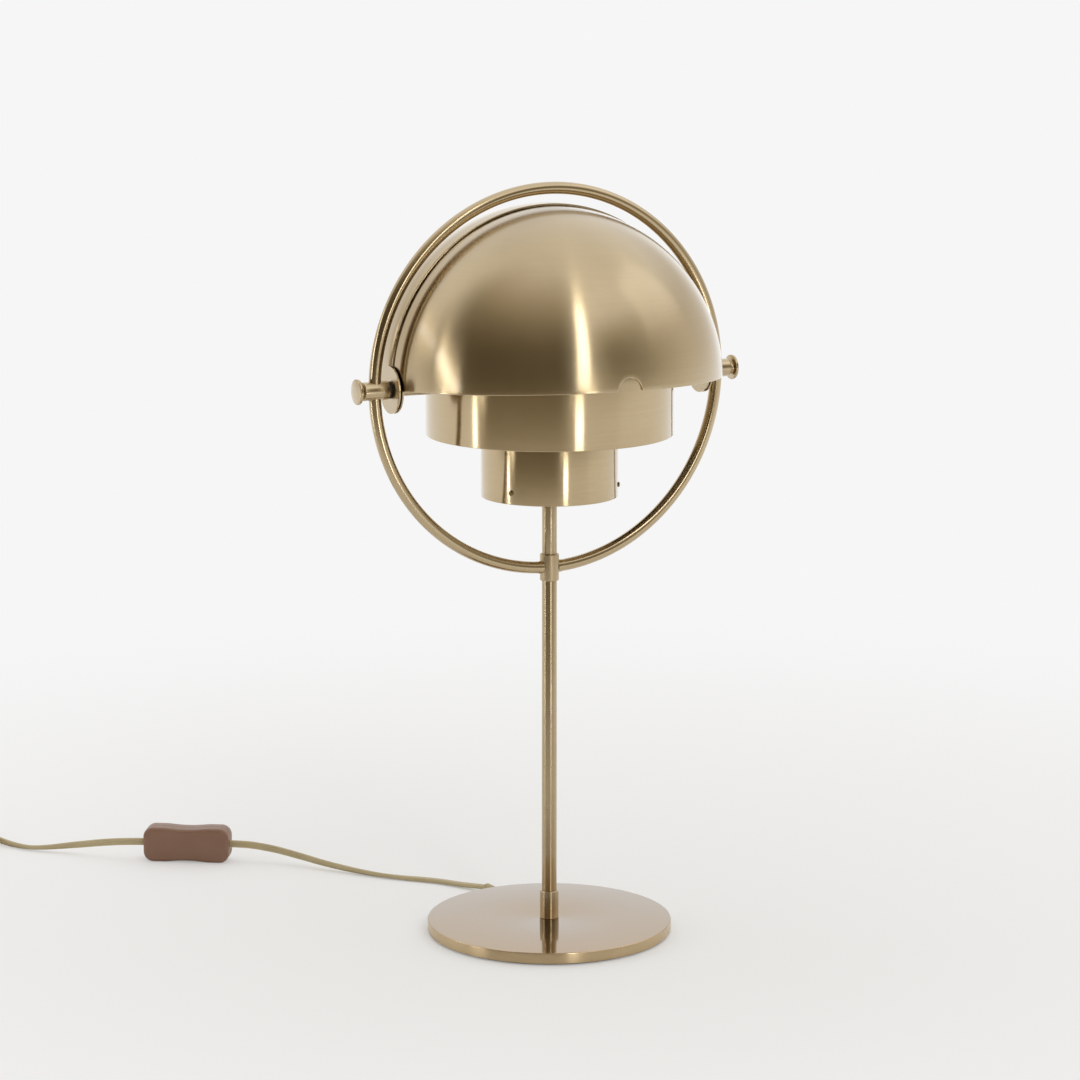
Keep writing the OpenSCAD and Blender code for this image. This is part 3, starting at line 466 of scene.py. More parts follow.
def turned(name, outline, finish, axis="Z", at=(0, 0, 0), steps=128, closed=True):
    """A lathe piece: an outline of (radius, height) points turned round an axis."""
    spots, points, faces = [], [], []
    for r, h in outline:
        if r < 1e-6:
            spots.append([len(points)] * steps)
            points.append((0, 0, h))
        else:
            spots.append(list(range(len(points), len(points) + steps)))
            points += [(x, y, h) for x, y in arc(0, 0, r, [360 * k / steps for k in range(steps)])]
    for low, high in zip(spots, spots[1:] + spots[:1] * closed):
        for k in range(steps):
            m = (k + 1) % steps
            face = list(dict.fromkeys((low[k], low[m], high[m], high[k])))
            if len(face) > 2:
                faces.append(face)
    points = [tuple(c + d for c, d in zip(LATHE_WAYS[axis](*p), at)) for p in points]
    return mesh_object(name, points, faces, finish, sharp=35)


def moulded_plastic(name, tone, light_tone, roughness):
    """Moulded plastic: even colour, satin, with the faint orange peel of the mould."""
    return mottled(name, tone, light_tone, (16.7, 3), (1.43, 1, 0.25, 0.12),
                   {"Roughness": roughness, "IOR": 1.5})


def slab(outline_at, levels):
    """A stack of like outlines in x and z: each level is y and the outline's inset."""
    return loft([[(x, y, z) for x, z in outline_at(inset)] for y, inset in levels])


def ribs(radii, pitch, profile):
    """A ribbed sleeve's outline: profile is one rib, as steps in radius and heights."""
    return [(r + step, h + pitch * k) for k, r in enumerate(radii) for step, h in profile]


switch_plastic = moulded_plastic("brown_moulded_plastic", "#8A6753", "#92705B", 0.38)
# Bright nickel: a cool grey mirror, slightly clouded by handling
nickel = mottled("nickel_plated_pins", "#B9B6B0", "#CFCDC8", (3.33, 3), None,
                 {"Roughness": 0.22, "Metallic": 1.0})

RELIEF_RIBS, RELIEF_END_R = 7, PLUG_T / 2 - 1.5
relief_line = [(0, 0), (CORD_W / 2 + 0.3, 0)]
relief_line += ribs([CORD_W / 2 + 0.55 + 0.27 * k for k in range(RELIEF_RIBS)], 2.8,
                    ((0, 1.2), (0, 2.9), (-0.5, 3.1), (-0.5, 3.9)))
relief_line += [(RELIEF_END_R, RELIEF_L - 1.2), (RELIEF_END_R, RELIEF_L), (0, RELIEF_L)]
plug_sleeve = turned("plug_cord_sleeve", eased(relief_line, 0.3, 2, closed=False),
                     switch_plastic, "-Y", (PLUG_X, relief_y, plug_z), 48, closed=False)
stand_for(plug_sleeve, "stand", "switch_brown", "plug_relief")


def plug_outline(inset):
    """The plug from above: a narrow back, a waist and a wide front with round corners."""
    half, back, r = PLUG_W / 2 - inset, PLUG_T / 2 + 1 - inset, 3.0 - inset * 0.5
    side = [(back, -inset), (back + 1.4, -2.5), (half - 1.6, -PLUG_L * 0.5),
            (half, -PLUG_L * 0.62)]
    side += arc(half - r, r + inset - PLUG_L, r, range(0, -91, -15))
    return side + [(-x, y) for x, y in reversed(side)]


PLUG_EASE = 2.2
levels = arc(PLUG_EASE - PLUG_T / 2, PLUG_EASE, PLUG_EASE, range(180, 271, 15))
levels += [(-h, inset) for h, inset in reversed(levels)]
points, faces = slab(plug_outline, levels)
points = [(PLUG_X + x, plug_back_y + y, plug_z + h) for x, h, y in points]
plug_shell = mesh_object("plug_shell", points, faces, switch_plastic)
stand_for(plug_shell, "stand", "switch_brown", "plug_body")

PIN_R, PIN_L, PIN_GAP, PIN_ROOT = 1.99, 19, 18, 1
pin_line = eased([(0, -PIN_ROOT), (PIN_R, -PIN_ROOT), (PIN_R, PIN_L - 1.2),
                  (PIN_R - 0.79, PIN_L), (0, PIN_L)], 0.4, 3, closed=False)
pins = [turned(f"plug_pin_{side}", pin_line, nickel, "-Y",
               (PLUG_X + x, plug_back_y - PLUG_L, plug_z), 32, closed=False)
        for side, x in (("left", -PIN_GAP / 2), ("right", PIN_GAP / 2))]
pins[1].parent = pins[0]
stand_for(pins[0], "stand", "pin_nickel", "plug_pins")

# ---- Switch --------------------------------------------------------------
# In-line cord switch of two brown moulded halves, waisted and well rounded, screwed
# together from the back, where its rocker sits.

SWITCH_T, SWITCH_R, SWITCH_EASE, WAIST, WAIST_HALF = 17.0, 7.0, 2.4, 1.0, 15.5
ROCKER_L, ROCKER_W, ROCKER_GAP, ROCKER_SUNK, ROCKER_TIP = 16.0, 9.0, 0.6, 3, 6
SCREW_X, SCREW_HOLE_R, SCREW_DEPTH, THROUGH = 22, 2.5, 2.1, 12
rocker_axis = SWITCH_T / 2 - ROCKER_SUNK


def switch_outline(inset):
    half, tall, r = SWITCH_L / 2 - inset, SWITCH_W / 2 - inset, max(SWITCH_R - inset, 1.0)
    quarter = arc(half - r, tall - r, r, range(0, 91, 10))
    quarter += [(x, tall - WAIST * max(0.0, 1 - (x / WAIST_HALF) ** 2) ** 1.3)
                for x in range(20, -1, -2)]
    half_line = quarter + [(-x, y) for x, y in reversed(quarter)][1:]
    return half_line + [(-x, -y) for x, y in half_line]


def at_switch(points, faces):
    """Points and faces from the switch's own place to where it stands on the table."""
    stand = Matrix.Rotation(math.radians(SWITCH_TURN), 3, "Z")
    return [stand @ Vector(p) + switch_mid for p in points], faces


def carve(thing, cutters):
    """Cuts plain blocks or rods out of a piece and applies the cut."""
    for points, faces in cutters:
        knife = mesh_object("knife", points, faces, thing.data.materials[0])
        cut = thing.modifiers.new("cut", "BOOLEAN")
        cut.object = knife
        cut.operation = "DIFFERENCE"
        cut.solver = "EXACT"
        shape = thing.evaluated_get(bpy.context.evaluated_depsgraph_get())
        mesh = bpy.data.meshes.new_from_object(shape)
        thing.modifiers.clear()
        thing.data = mesh
        bpy.data.objects.remove(knife)
        mesh.shade_smooth()
        mesh.set_sharp_from_angle(angle=math.radians(35))


def block(low, high):
    """Points and faces of a box between two corners."""
    points = [(x, y, z) for x in (low[0], high[0]) for y in (low[1], high[1])
              for z in (low[2], high[2])]
    return points, [(0, 1, 3, 2), (4, 6, 7, 5), (0, 4, 5, 1), (2, 3, 7, 6), (0, 2, 6, 4),
                    (1, 5, 7, 3)]


levels = [(-0.03, 0.3), (-0.3, 0.0), (SWITCH_EASE - SWITCH_T / 2, 0.0)]
levels += arc(SWITCH_EASE - SWITCH_T / 2, SWITCH_EASE, SWITCH_EASE, range(255, 179, -15))
near_half = mesh_object("switch_front_half", *at_switch(*slab(switch_outline, levels)),
                        switch_plastic)
levels = [(-y, inset) for y, inset in levels]
far_half = mesh_object("switch_back_half", *at_switch(*slab(switch_outline, levels)),
                       switch_plastic)
window = (ROCKER_L / 2 + ROCKER_GAP, ROCKER_W / 2 + ROCKER_GAP)
cutters = [at_switch(*block((-window[0], 2, -window[1]), (window[0], THROUGH, window[1])))]
for x in (-SCREW_X, SCREW_X):
    rod = loft([[(px, y, pz) for px, pz in arc(x, 0, SCREW_HOLE_R, range(0, 360, 15))]
                for y in (SWITCH_T / 2 - SCREW_DEPTH, THROUGH)])
    cutters.append(at_switch(*rod))
carve(far_half, cutters)
stand_for(near_half, "stand", "switch_brown", "switch_near_case")
stand_for(far_half, "stand", "switch_brown", "switch_far_case")

rocker_plastic = moulded_plastic("dark_brown_rocker_plastic", "#6C523F", "#745A47", 0.32)
key_line = eased([(ROCKER_L / 2 - 1, -1.6), (ROCKER_L / 2, ROCKER_SUNK + 1.6),
                  (0, ROCKER_SUNK + 0.3), (-ROCKER_L / 2, ROCKER_SUNK + 1.6),
                  (-ROCKER_L / 2 + 1, -1.6)], 0.7, 4)
key_middle = Vector((0, ROCKER_SUNK / 2))
key_side = [(ROCKER_W / 2, 0.35), (ROCKER_W / 2 - 0.15, 0.1), (ROCKER_W / 2 - 0.4, 0)]
rings = [[(*((Vector(p) - key_middle) * (1 - inset / 6) + key_middle), z) for p in key_line]
         for z, inset in [(-z, inset) for z, inset in key_side] + key_side[::-1]]
points, faces = loft(rings)
tip = Matrix.Rotation(math.radians(ROCKER_TIP), 3, "Z")
points = [tip @ Vector(p) + Vector((0, rocker_axis, 0)) for p in points]
rocker = mesh_object("switch_key", *at_switch(points, faces), rocker_plastic, sharp=30)
stand_for(rocker, "switch_rocker", "rocker_brown", "switch_rocker")

# ---- Base ----------------------------------------------------------------
# Heavy steel disc, plated in brass and brushed on the lathe, on a black felt pad; the
# stem's foot is hidden by a small turned collar.


def turned_brass(name, axis=(0, 0, 1), centre=(0, 0, 0), tone="#C3B08D", dull="#B49E77",
                 roughness=0.25, line=0.7, cut=0.12, stretch=0.75, coat=1.0,
                 coat_roughness=0.15, edge="#FFFFFF"):
    """Lacquered brass brushed round an axis: fine rings, gloss drawn out across them.
    line is the rings' spacing in mm, coarser than real so that it shows."""
    finish, tree = new_finish(name)
    where = add(tree, "TexCoord").outputs["Object"]
    reach = add(tree, "VectorMath", {0: where, 1: [c * MM for c in centre]},
                operation="SUBTRACT").outputs["Vector"]
    along = add(tree, "VectorMath", {0: reach, 1: axis}, operation="DOT_PRODUCT").outputs["Value"]
    spine = add(tree, "VectorMath", {0: axis, "Scale": along}, operation="SCALE").outputs["Vector"]
    spoke = add(tree, "VectorMath", {0: reach, 1: spine}, operation="SUBTRACT").outputs["Vector"]
    out = add(tree, "VectorMath", {0: spoke}, operation="LENGTH").outputs["Value"]
    way = add(tree, "VectorMath", {0: spoke}, operation="NORMALIZE").outputs["Vector"]
    # radius less height counts the rings on flat, upright and domed faces alike
    count = add(tree, "Math", {0: out, 1: along}, operation="SUBTRACT").outputs[0]
    rings = add(tree, "Math", {0: count, 1: 1 / (line * MM)}, operation="MULTIPLY").outputs[0]
    stack = add(tree, "VectorMath", {0: axis, "Scale": rings}, operation="SCALE").outputs["Vector"]
    drawn = add(tree, "VectorMath", {0: way, 1: (1.6, 1.6, 1.6), 2: stack},
                operation="MULTIPLY_ADD").outputs["Vector"]
    brush = add(tree, "TexNoise", {"Vector": drawn, "Scale": 1.0, "Detail": 3.0,
                                   "Roughness": 0.65}).outputs["Fac"]
    # wide clouds, 45 mm across, where the lacquer is a little thicker or duller
    cloud = add(tree, "TexNoise", {"Vector": where, "Scale": 1 / (45.5 * MM),
                                   "Detail": 3.0}).outputs["Fac"]
    mixed = add(tree, "Mix", {0: 0.35, 2: brush, 3: cloud}).outputs[0]
    shade = add(tree, "Mix", {0: mixed, 6: paint(dull), 7: paint(tone)},
                data_type="RGBA").outputs[2]
    gloss = add(tree, "MapRange", {"Value": cloud, "From Min": 0.3, "From Max": 0.7,
                                   "To Min": roughness * 1.15, "To Max": roughness * 0.85})
    score = add(tree, "Bump", {"Height": brush, "Strength": cut, "Distance": 0.05 * MM})
    tangent = add(tree, "VectorMath", {0: axis, 1: way}, operation="CROSS_PRODUCT")
    tangent = add(tree, "VectorTransform", {0: tangent.outputs["Vector"]}, vector_type="VECTOR",
                  convert_from="OBJECT", convert_to="WORLD").outputs["Vector"]
    body = add(tree, "BsdfPrincipled", {
        "Base Color": shade, "Metallic": 1.0, "Roughness": gloss.outputs[0],
        "Anisotropic": stretch, "Anisotropic Rotation": 0.25, "Tangent": tangent,
        "Coat Weight": coat, "Coat Roughness": coat_roughness, "Specular Tint": paint(edge),
        "Normal": score.outputs[0]})
    add(tree, "OutputMaterial", {"Surface": body.outputs[0]})
    return finish


PAD_T, PAD_R, BASE_R, BASE_TOP = 0.8, 79, 81.5, 8.4
STEM_R, STEM_BORE = 5.0, 4.0
GROOVE_W, GROOVE_H, GROOVE_FROM, GROOVE_TO = 6.4, 5.4, 30, 90
COLLAR_R, COLLAR_TOP = 6.25, 27.4
socket = STEM_R + 0.05
# The top is polished after the lathe, a soft mirror; the rim keeps the lathe's rings, with a tone
# painted lighter than the top's as a painted highlight
base_brass = turned_brass("polished_brass_plate_base", tone="#C4AC8E", dull="#BAA181",
                          roughness=0.12, cut=0.02, coat=0.65, coat_roughness=0.03,
                          edge="#D6DBE2")
rim_brass_painted_lighter = turned_brass("turned_brass_base_rim_painted_lighter", tone="#D7C09C", dull="#C8B086", roughness=0.3,
                         stretch=1.0, coat=0.4)
outline = eased([(BASE_R, PAD_T), (BASE_R, BASE_TOP), (socket, BASE_TOP), (socket, PAD_T)],
                0.9, 6)
base_disc = turned("base_disc", outline, base_brass, steps=256)
carve(base_disc, [block((-GROOVE_W / 2, GROOVE_FROM, -1),
                        (GROOVE_W / 2, GROOVE_TO, PAD_T + GROOVE_H))])
# the upright faces take the rim's tone, painted lighter than the top's as a painted highlight
base_disc.data.materials.append(rim_brass_painted_lighter)
for facet in base_disc.data.polygons:
    if abs(facet.normal.z) < 0.5:
        facet.material_index = 1
stand_for(base_disc, "stand", "brass_brushed", "base_plate")

# Pressed wool felt: no gloss, short fibres that lie all ways
felt = mottled("black_wool_felt", "#171614", "#34322E", (0.714, 4), (0.714, 4, 0.6, 0.3),
               {"Roughness": 0.95, "Sheen Weight": 0.2})
pad = turned("felt_pad", eased([(0, 0), (PAD_R, 0), (PAD_R, PAD_T), (0, PAD_T)], 0.3, 3,
                               closed=False), felt, steps=192, closed=False)
stand_for(pad, "stand", "felt_pad", "base_pad")

# Drawn brass tube: the light runs along it in straight, narrow lines
stem_brass = turned_brass("brushed_brass_stem", roughness=0.28, line=4.0, stretch=1.0, cut=0.0,
                          coat_roughness=0.12)
foot = turned("stem_foot_collar",
              eased([(socket, BASE_TOP), (COLLAR_R, BASE_TOP), (COLLAR_R, COLLAR_TOP - 0.5),
                     (COLLAR_R - 0.5, COLLAR_TOP), (socket, COLLAR_TOP)], 0.3, 3),
              stem_brass, steps=96)
stand_for(foot, "stand", "brass_brushed", "stem_socket")

# ---- Stem and ring -------------------------------------------------------
# Brass tube, 10 mm, in two lengths; the 8 mm ring is one tube bent round and brazed into
# the collar where the two stem lengths meet.

PIVOT_H, RING_R, RING_TUBE_R = 371.7, 124.3, 4.0
STEM_FOOT, STEM_HEAD = 3.6, 311.7
TEE_R, TEE_H, TEE_EASE = 6.3, 17.8, 0.5
RING_STEPS, TUBE_STEPS = 400, 28
ring_low = PIVOT_H - RING_R
for name, low, high in (("lower", STEM_FOOT, ring_low - 0.1), ("upper", ring_low + 0.1, STEM_HEAD)):
    outline = eased([(STEM_BORE, low), (STEM_R, low), (STEM_R, high), (STEM_BORE, high)], 0.25, 2)
    tube = turned(f"stem_{name}_tube", outline, stem_brass, steps=96)
    stand_for(tube, "stand", "brass_brushed", f"stem_{name}")

low, high = ring_low - TEE_H / 2, ring_low + TEE_H / 2
tee_line = eased([(socket, low), (TEE_R - 0.35, low), (TEE_R, low + TEE_EASE),
                  (TEE_R, high - TEE_EASE), (TEE_R - 0.35, high), (socket, high)], 0.3, 3)
# Cleaned up by hand after brazing, so it is satin and almost without a direction
tee_brass = turned_brass("satin_brass_collar", roughness=0.45, stretch=0.2, cut=0.05,
                         coat_roughness=0.35)
tee = turned("ring_and_stem_collar", tee_line, tee_brass, steps=96)
stand_for(tee, "stand", "brass_brushed", "ring_collar")

# Polished after bending: clear, even highlights all along the tube
ring_brass = turned_brass("polished_brass_ring", axis=(0, 1, 0), centre=(0, 0, PIVOT_H),
                          roughness=0.2, line=4.0, stretch=0.0, cut=0.0, coat_roughness=0.1)
mouth = math.asin((STEM_R + 0.3) / RING_R)
rings = []
for i in range(RING_STEPS + 1):
    a = -math.pi / 2 + mouth + (2 * math.pi - 2 * mouth) * i / RING_STEPS
    # a small bead of braze where the tube meets the collar
    near = min(i, RING_STEPS - i) / RING_STEPS * 2 * math.pi * RING_R
    bead = 0.55 * math.exp(-((near - 1.2) / 0.9) ** 2)
    section = arc(RING_R, 0, RING_TUBE_R + bead, [360 * k / TUBE_STEPS for k in range(TUBE_STEPS)])
    rings.append([(r * math.cos(a), y, PIVOT_H + r * math.sin(a)) for r, y in section])
ring = mesh_object("standing_ring", *loft(rings), ring_brass)
stand_for(ring, "stand", "brass_brushed", "ring_tube")

# ---- Pivots --------------------------------------------------------------
# Turned barrels that the ring passes through, each with a screw whose flat crowned head is
# turned by hand to set how stiffly the shades move, and black fibre washers between.

SHANK_R, SHANK_HOLE_R, SHANK_FROM = 2.5, 2.55, 75.38
BARREL_R, BARREL_FROM, BARREL_TO = 6, 115.48, 132.98
NECK_R_OUT, HEAD_R, HEAD_FROM, HEAD_TO = 4.5, 8.25, 135.38, 138.18
# Turned bars have a bright, closely brushed face
pivot_brass = turned_brass("brushed_brass_pivot", axis=(1, 0, 0), centre=(0, 0, PIVOT_H),
                           roughness=0.2, line=2.0, cut=0.01)
washer_fibre = black_rubber("black_fibre_washer", "#141312", 0.5)
SIDES = (("right", "X"), ("left", "-X"))


def sleeve_line(low, high, r, ease, steps):
    """A round piece with a hole for the shank."""
    return eased([(SHANK_HOLE_R, low), (r, low), (r, high), (SHANK_HOLE_R, high)], ease, steps)


def at_pivots(name, outline, finish, steps, closed=True):
    """The piece turned on the pivot axis, once on each side."""
    return [turned(f"{name}_{side}", outline, finish, axis, (0, 0, PIVOT_H), steps, closed)
            for side, axis in SIDES]


screw_line = eased([(0, SHANK_FROM), (SHANK_R, SHANK_FROM), (SHANK_R, BARREL_TO - 0.08),
                    (NECK_R_OUT, BARREL_TO), (NECK_R_OUT, HEAD_FROM), (HEAD_R, HEAD_FROM),
                    (HEAD_R, HEAD_TO - 1.0), (HEAD_R - 1.25, HEAD_TO - 0.68),
                    (HEAD_R - 4.05, HEAD_TO - 0.26), (0, HEAD_TO)], 0.45, 4, closed=False)
barrels = at_pivots("barrel_turned", sleeve_line(BARREL_FROM, BARREL_TO, BARREL_R, 0.7, 4),
                    pivot_brass, 96)
screws = at_pivots("pivot_knob", screw_line, pivot_brass, 96, closed=False)
for (side, _), barrel, screw in zip(SIDES, barrels, screws):
    stand_for(barrel, "stand", "brass_brushed", f"barrel_{side}")
    stand_for(screw, "stand", "brass_brushed", f"pivot_screw_{side}")
for name, low, high, r in (("outer", 114.08, BARREL_FROM, 5.5), ("middle", 111.86, 112.88, 8.0),
                           ("inner", 109.66, 110.66, 8.0)):
    pair = at_pivots(f"{name}_washer", sleeve_line(low, high, r, 0.25, 3), washer_fibre, 64)
    pair[1].parent = pair[0]
    stand_for(pair[0], "stand", "washer_fibre", f"{name}_washers")

# ---- Shades --------------------------------------------------------------
# Two quarter spheres spun from 1 mm brass sheet and brushed, with turned-in edges, a notch
# for the stem and a round ear pressed flat at each end.

EAR_R, NOTCH_R, NOTCH_EASE, SHEET = 15.25, 8.5, 1.4, 1.0
# the edges' bend, and how far from the ears it dies out
BEND_R, BEND_FADE, BEND_STEPS = 0.5, 7.0, 5
SHADE_ROWS, SIDE_COLS, EAR_STEPS = 72, 64, 216
TINY = 1e-6
# Burnished where the sheet is bent in: an even gloss without brushing
edge_brass = turned_brass("burnished_brass_shade_edge", centre=(0, 0, PIVOT_H), roughness=0.2,
                          line=4.0, stretch=0.0, cut=0.0)
# Fine brushing round the stem's axis draws each light out into an upright streak
shade_brass = turned_brass("brushed_brass_sheet_shade", centre=(0, 0, PIVOT_H),
                           roughness=0.22, stretch=0.95, cut=0.03)


def notch_edge(r):
    """The lower edge from left to right: x and height above the pivot plane."""
    half, corner = arc(0, 0, NOTCH_R, range(90, 8, -9)), NOTCH_R + NOTCH_EASE
    x, z = half[-1]
    half += [(x * (1 - t) ** 2 + 2 * t * (1 - t) * (NOTCH_R + 0.02) + corner * t * t,
              z * (1 - t) ** 2) for t in (0.2, 0.4, 0.6, 0.8, 1.0)]
    first, last = math.asin(corner / r), math.acos(EAR_R / r)
    half += [(r * math.sin(first + (last - first) * k / SIDE_COLS), 0.0)
             for k in range(1, SIDE_COLS + 1)]
    return [(-x, z) for x, z in reversed(half)][:-1] + half


def edge_way(x, z):
    """The way the lower edge faces: straight down, or towards the notch's middle."""
    if z <= TINY:
        return Vector((0, 0, -1))
    if abs(x) < NOTCH_R:
        return unit((-x, 0, -z))
    k = (abs(x) - NOTCH_R * 0.985) / (NOTCH_EASE + NOTCH_R * 0.015)
    return unit((-math.copysign(1 - k, x), 0, -k - 0.15))


def bent(at, out_way, in_way, bend, steps):
    """An edge bent in: points on a quarter round from out_way to in_way."""
    quarter = [math.radians(90 * s / BEND_STEPS) for s in steps]
    return [at + out_way * bend * math.sin(t) + in_way * bend * (1 - math.cos(t))
            for t in quarter]


def shade_grid(r, lip, draw_in):
    """Columns of points from the upper edge to the lower edge, both bent inwards by lip."""
    edge, columns = notch_edge(r), []
    a_last = math.asin(edge[-1][0] / r)

    def on_sphere(a, b):
        q = r - draw_in * math.exp(-(b * r / BEND_FADE) ** 2)
        return Vector((q * math.sin(a), -q * math.cos(a) * math.sin(b),
                       q * math.cos(a) * math.cos(b)))

    for i, (x, z) in enumerate(edge):
        a_top = a_last * (2 * i / (len(edge) - 1) - 1)
        a_low = math.asin(x / r)
        b_low = math.pi / 2 - math.asin(z / (r * math.cos(a_low)))
        fade_top, fade_low = (smooth((a_last - abs(a)) * r / BEND_FADE) for a in (a_top, a_low))
        # upper edge, from the lip's end to the sphere
        top, bend, back = on_sphere(a_top, 0.0), BEND_R * fade_top, Vector((0, 1, 0))
        inward = -unit(top)
        column = [top + inward * max(lip * fade_top, bend)]
        column += bent(top - back * bend, back, inward, bend, range(BEND_STEPS, -1, -1))
        b_top = bend / r / max(math.cos(a_top), 0.05)
        # the sphere itself
        low, bend, facing = on_sphere(a_low, b_low), BEND_R * fade_low, edge_way(x, z)
        tuck = unit(low - facing * bend) * r
        a_end = math.asin(max(-1, min(1, tuck.x / r)))
        b_end = math.atan2(-tuck.y, tuck.z)
        for s in range(1, SHADE_ROWS):
            v = s / SHADE_ROWS
            column.append(on_sphere(a_top + (a_end - a_top) * v ** 3,
                                    b_top + (b_end - b_top) * v))
        # lower edge, from the sphere to the lip's end
        inward = -unit(low)
        inward = unit((inward.x, inward.y, 0 if z < TINY else inward.z))
        column += bent(tuck, facing, inward, bend, range(BEND_STEPS + 1))
        column.append(low + inward * max(lip * fade_low, bend))
        columns.append(column)
    return columns


def ear(column):
    """A flat ear: rings of points from its rim, a quarter of it the shade's end column, to
    the shank's hole."""
    x = column[len(column) // 2].x
    rim = [Vector((x, p.y, p.z)) for p in column]
    rim = [p for k, p in enumerate(rim) if k == 0 or (p - rim[k - 1]).length > 1e-4]
    start = math.atan2(-rim[-1].y, rim[-1].z)
    angles = [start + (2 * math.pi - start) * k / EAR_STEPS for k in range(1, EAR_STEPS)]
    rim += [Vector((x, -EAR_R * math.sin(a), EAR_R * math.cos(a))) for a in angles]
    shares = [share + (1 - share) * SHANK_HOLE_R / EAR_R
              for share in (1.0, 0.985, 0.8, 0.5, 0.25, 0.0)]
    return [[Vector((x, p.y * share, p.z * share)) for p in rim] for share in shares]


def shade_piece(name, r, lip, draw_in, turn, lift):
    """A shade as a sheet: turned round the stem's axis, then lifted about the pivots."""
    columns = shade_grid(r, lip, draw_in)
    n, points = len(columns[0]), [p for column in columns for p in column]
    faces = [(i * n + j, (i + 1) * n + j, (i + 1) * n + j + 1, i * n + j + 1)
             for i in range(len(columns) - 1) for j in range(n - 1)]
    for column in (columns[0], columns[-1]):
        ear_points, ear_faces = loft(ear(column), capped=False)
        faces += [tuple(len(points) + k for k in face) for face in ear_faces]
        points += ear_points
    place = (Matrix.Rotation(math.radians(-lift), 3, "X")
             @ Matrix.Rotation(math.radians(turn), 3, "Z"))
    points = [place @ Vector(p) + Vector((0, 0, PIVOT_H)) for p in points]
    shell = mesh_object(name, points, faces, shade_brass, sharp=50)
    # recalc can turn an open sheet inside out: the crown's normal has to point out
    crown = max(shell.data.polygons, key=lambda f: f.center.z)
    if crown.normal.z < 0:
        shell.data.flip_normals()
    thick = shell.modifiers.new("sheet", "SOLIDIFY")
    thick.thickness = SHEET * MM
    thick.offset = -1.0
    mesh = bpy.data.meshes.new_from_object(
        shell.evaluated_get(bpy.context.evaluated_depsgraph_get()))
    shell.modifiers.clear()
    shell.data = mesh
    mesh.shade_smooth()
    mesh.set_sharp_from_angle(angle=math.radians(50))
    # a face that doesn't look away from the shade's middle is on a bent edge
    mesh.materials.append(edge_brass)
    middle = Vector((0, 0, PIVOT_H * MM))
    for facet in mesh.polygons:
        if abs(facet.normal.dot((facet.center - middle).normalized())) < 0.8:
            facet.material_index = 1
    return shell


front = shade_piece("front_quarter_shade", 112.8, lip=2.4, draw_in=0.0, turn=0, lift=3)
stand_for(front, "front_shade", "brass_polished", "front_shade")
rear = shade_piece("rear_quarter_shade", 115.0, lip=1.0, draw_in=0.7, turn=180, lift=0)
stand_for(rear, "rear_shade", "brass_polished", "rear_shade")

# ---- Drum and sleeve -----------------------------------------------------
# Rolled and seamed brass sheet: a wide drum round the bulb, and below it a narrower sleeve
# held to the cup inside by three small screws.

drum_brass = turned_brass("brushed_brass_drum", roughness=0.18, stretch=0.9, cut=0.02, coat=0.6)
for name, r, low, high, steps in (("drum", 81, 336.4, 407.0, 256),
                                  ("sleeve", 45, 295.2, 345.2, 192)):
    outline = eased([(r - SHEET, low), (r, low), (r, high), (r - SHEET, high)], 0.4, 4)
    wall_sheet = turned(f"{name}_shell", outline, drum_brass, steps=steps)
    stand_for(wall_sheet, "stand", "brass_brushed", name)

# Small screws of darkened brass with a cross slot, standing out from the sleeve
SCREW_Z, SCREW_FROM, SCREW_HEAD_R, SLOT_HALF, SLOT_FROM = 302.7, 41.6, 1.7, 0.22, 45.7
screw_brass = turned_brass("dark_brass_screw", tone="#8F7A50", dull="#6E5C3A", roughness=0.35)
head_line = eased([(0, 0), (1.0, 0), (1.0, 3.4), (SCREW_HEAD_R, 3.45), (SCREW_HEAD_R, 4.1),
                   (1.1, 4.5), (0, 4.5)], 0.3, 3, closed=False)
slots = [block((SLOT_FROM, -y, -z), (SLOT_FROM + 1.3, y, z))
         for y, z in ((SLOT_HALF, 1.0), (1.0, SLOT_HALF))]
heads = []
for number, bearing in enumerate((90, 210, 330)):
    head = turned(f"sleeve_screw_{number + 1}", head_line, screw_brass, "X", (SCREW_FROM, 0, 0),
                  32, closed=False)
    carve(head, slots)
    head.data.transform(Matrix.Translation((0, 0, SCREW_Z * MM))
                        @ Matrix.Rotation(math.radians(bearing), 4, "Z"))
    heads.append(head)
heads[1].parent = heads[0]
heads[2].parent = heads[0]
stand_for(heads[0], "stand", "brass_dark", "sleeve_screws")

# ---- Cord sleeve at the base ---------------------------------------------
# Ribbed strain relief moulded on the lead in its own PVC. Its root sits in the base's groove
# with a collar against the rim, and it tapers towards the free lead.

RIM_STOP_R, SLEEVE_L = 3.4, 14.5
relief_line = [(0, -12), (2.9, -12), (2.9, 0.4), (RIM_STOP_R, 0.5), (RIM_STOP_R, 2.9)]
relief_line += ribs([3.25 - 0.1 * k for k in range(5)], 2.3,
                    ((-0.4, 3.1), (-0.4, 3.8), (0, 4.0), (0, 5.2)))
relief_line += [(2.75, SLEEVE_L), (0, SLEEVE_L)]
relief = turned("base_cord_sleeve", eased(relief_line, 0.25, 2, closed=False), cord_sheath,
                "Y", (0, BASE_R, CORD_EXIT[2]), 48, closed=False)
stand_for(relief, "stand", "cord_tan", "cord_relief")

# ---- Lamp holder, bulb and inner parts -----------------------------------
# What the shades hide: a bakelite holder with an opal bulb, and the plated steel nuts,
# straps and screws that hold the lamp together.

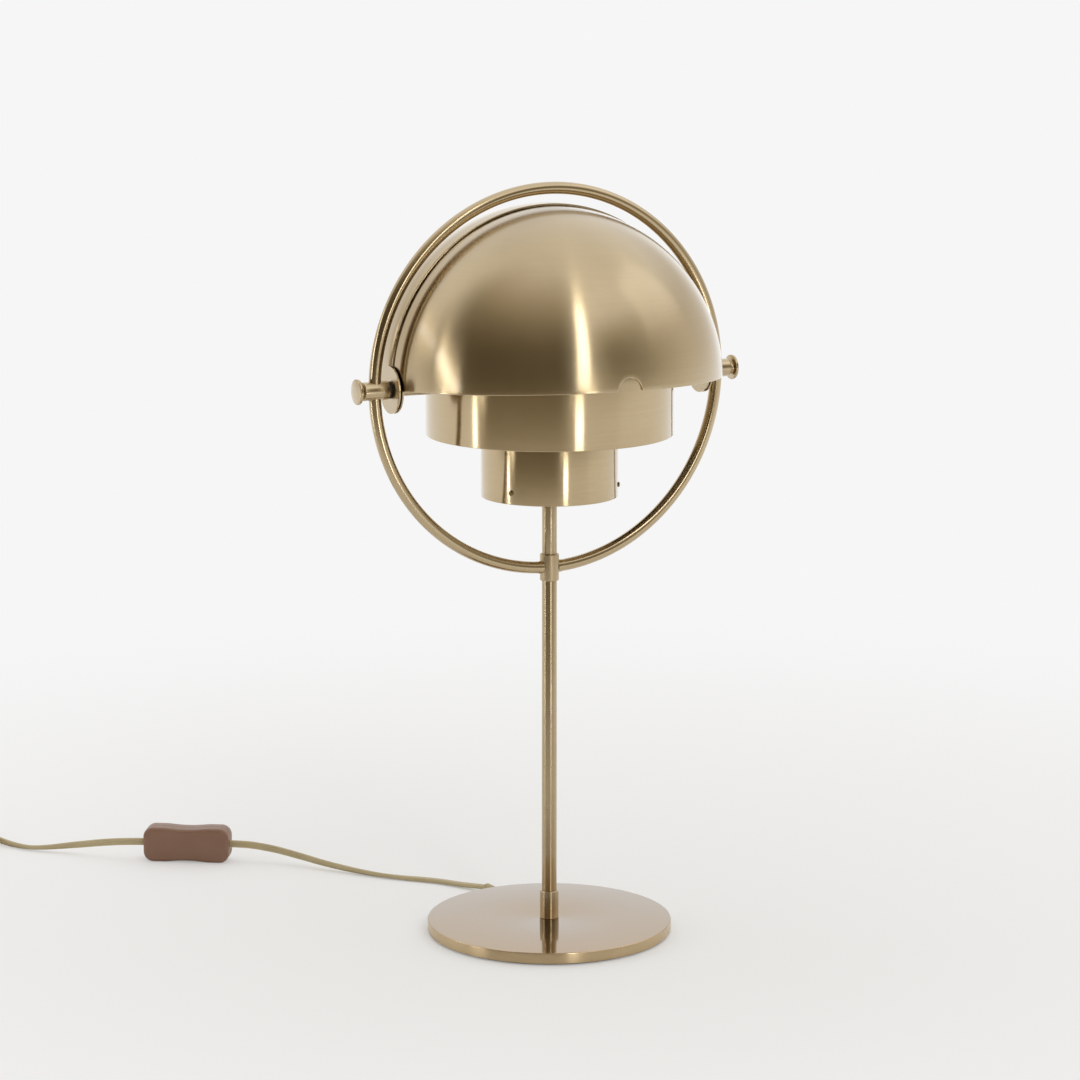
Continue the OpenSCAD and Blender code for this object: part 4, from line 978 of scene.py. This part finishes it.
# Opal glass: white all through, with a smooth bright skin
opal = mottled("opal_bulb_glass", "#EDEAE2", "#F6F4EE", (33.3, 2), None,
               {"Roughness": 0.12, "IOR": 1.5, "Coat Weight": 0.3})
# Zinc plating: a dull cool grey with a faint spangle
steel = mottled("zinc_plated_steel", "#8F9194", "#B5B7B9", (4.55, 4), None,
                {"Metallic": 1.0, "Roughness": 0.38})
bakelite = moulded_plastic("black_bakelite_holder", "#1B1917", "#23201D", 0.3)
insulator = moulded_plastic("bulb_tip_glass_insulator", "#2B2825", "#35312D", 0.25)
wire_sheath = moulded_plastic("brown_wire_sheath", "#6B4A30", "#78563A", 0.45)
plain_brass = turned_brass("turned_brass_inner", roughness=0.28)

GLOBE_Z, BALL_Z, GLOBE_R, NECK_R, NECK_STEPS, JOIN = 347.2, 54.0, 30.0, 13.5, 17, -32
join_r, join_z = arc(0, BALL_Z, GLOBE_R, [JOIN])[0]
glass = [(0, 0.6), (NECK_R - 1, 0)]
for k in range(NECK_STEPS):
    t = k / NECK_STEPS
    swell = 0.75 * (1 - math.cos(math.pi * t)) / 2 + 0.25 * t
    glass.append((NECK_R + (join_r - NECK_R) * swell, join_z * t))
glass += arc(0, BALL_Z, GLOBE_R, range(JOIN, 90, 4))
glass.append((0, BALL_Z + GLOBE_R))
bulb = turned("opal_bulb", glass, opal, at=(0, 0, GLOBE_Z), steps=96, closed=False)
stand_for(bulb, "stand", "opal_glass", "bulb_globe")

for finish, nodes in ((steel, ("base_nut", "pivot_nuts", "drum_carrier", "holder_nuts",
                               "cord_clamp", "clamp_screws", "switch_screws")),
                      (plain_brass, ("pivot_spacers", "holder_cup", "holder_contact",
                                     "switch_terminals")),
                      (bakelite, ("lamp_holder",)), (insulator, ("bulb_tip",)),
                      (nickel, ("bulb_cap",)), (cord_sheath, ("cord_tail",)),
                      (wire_sheath, ("inner_wires",))):
    for node in nodes:
        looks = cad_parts[node].data.materials
        looks.clear()
        looks.append(finish)

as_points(run_of(lamp_path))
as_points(run_of(supply_path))
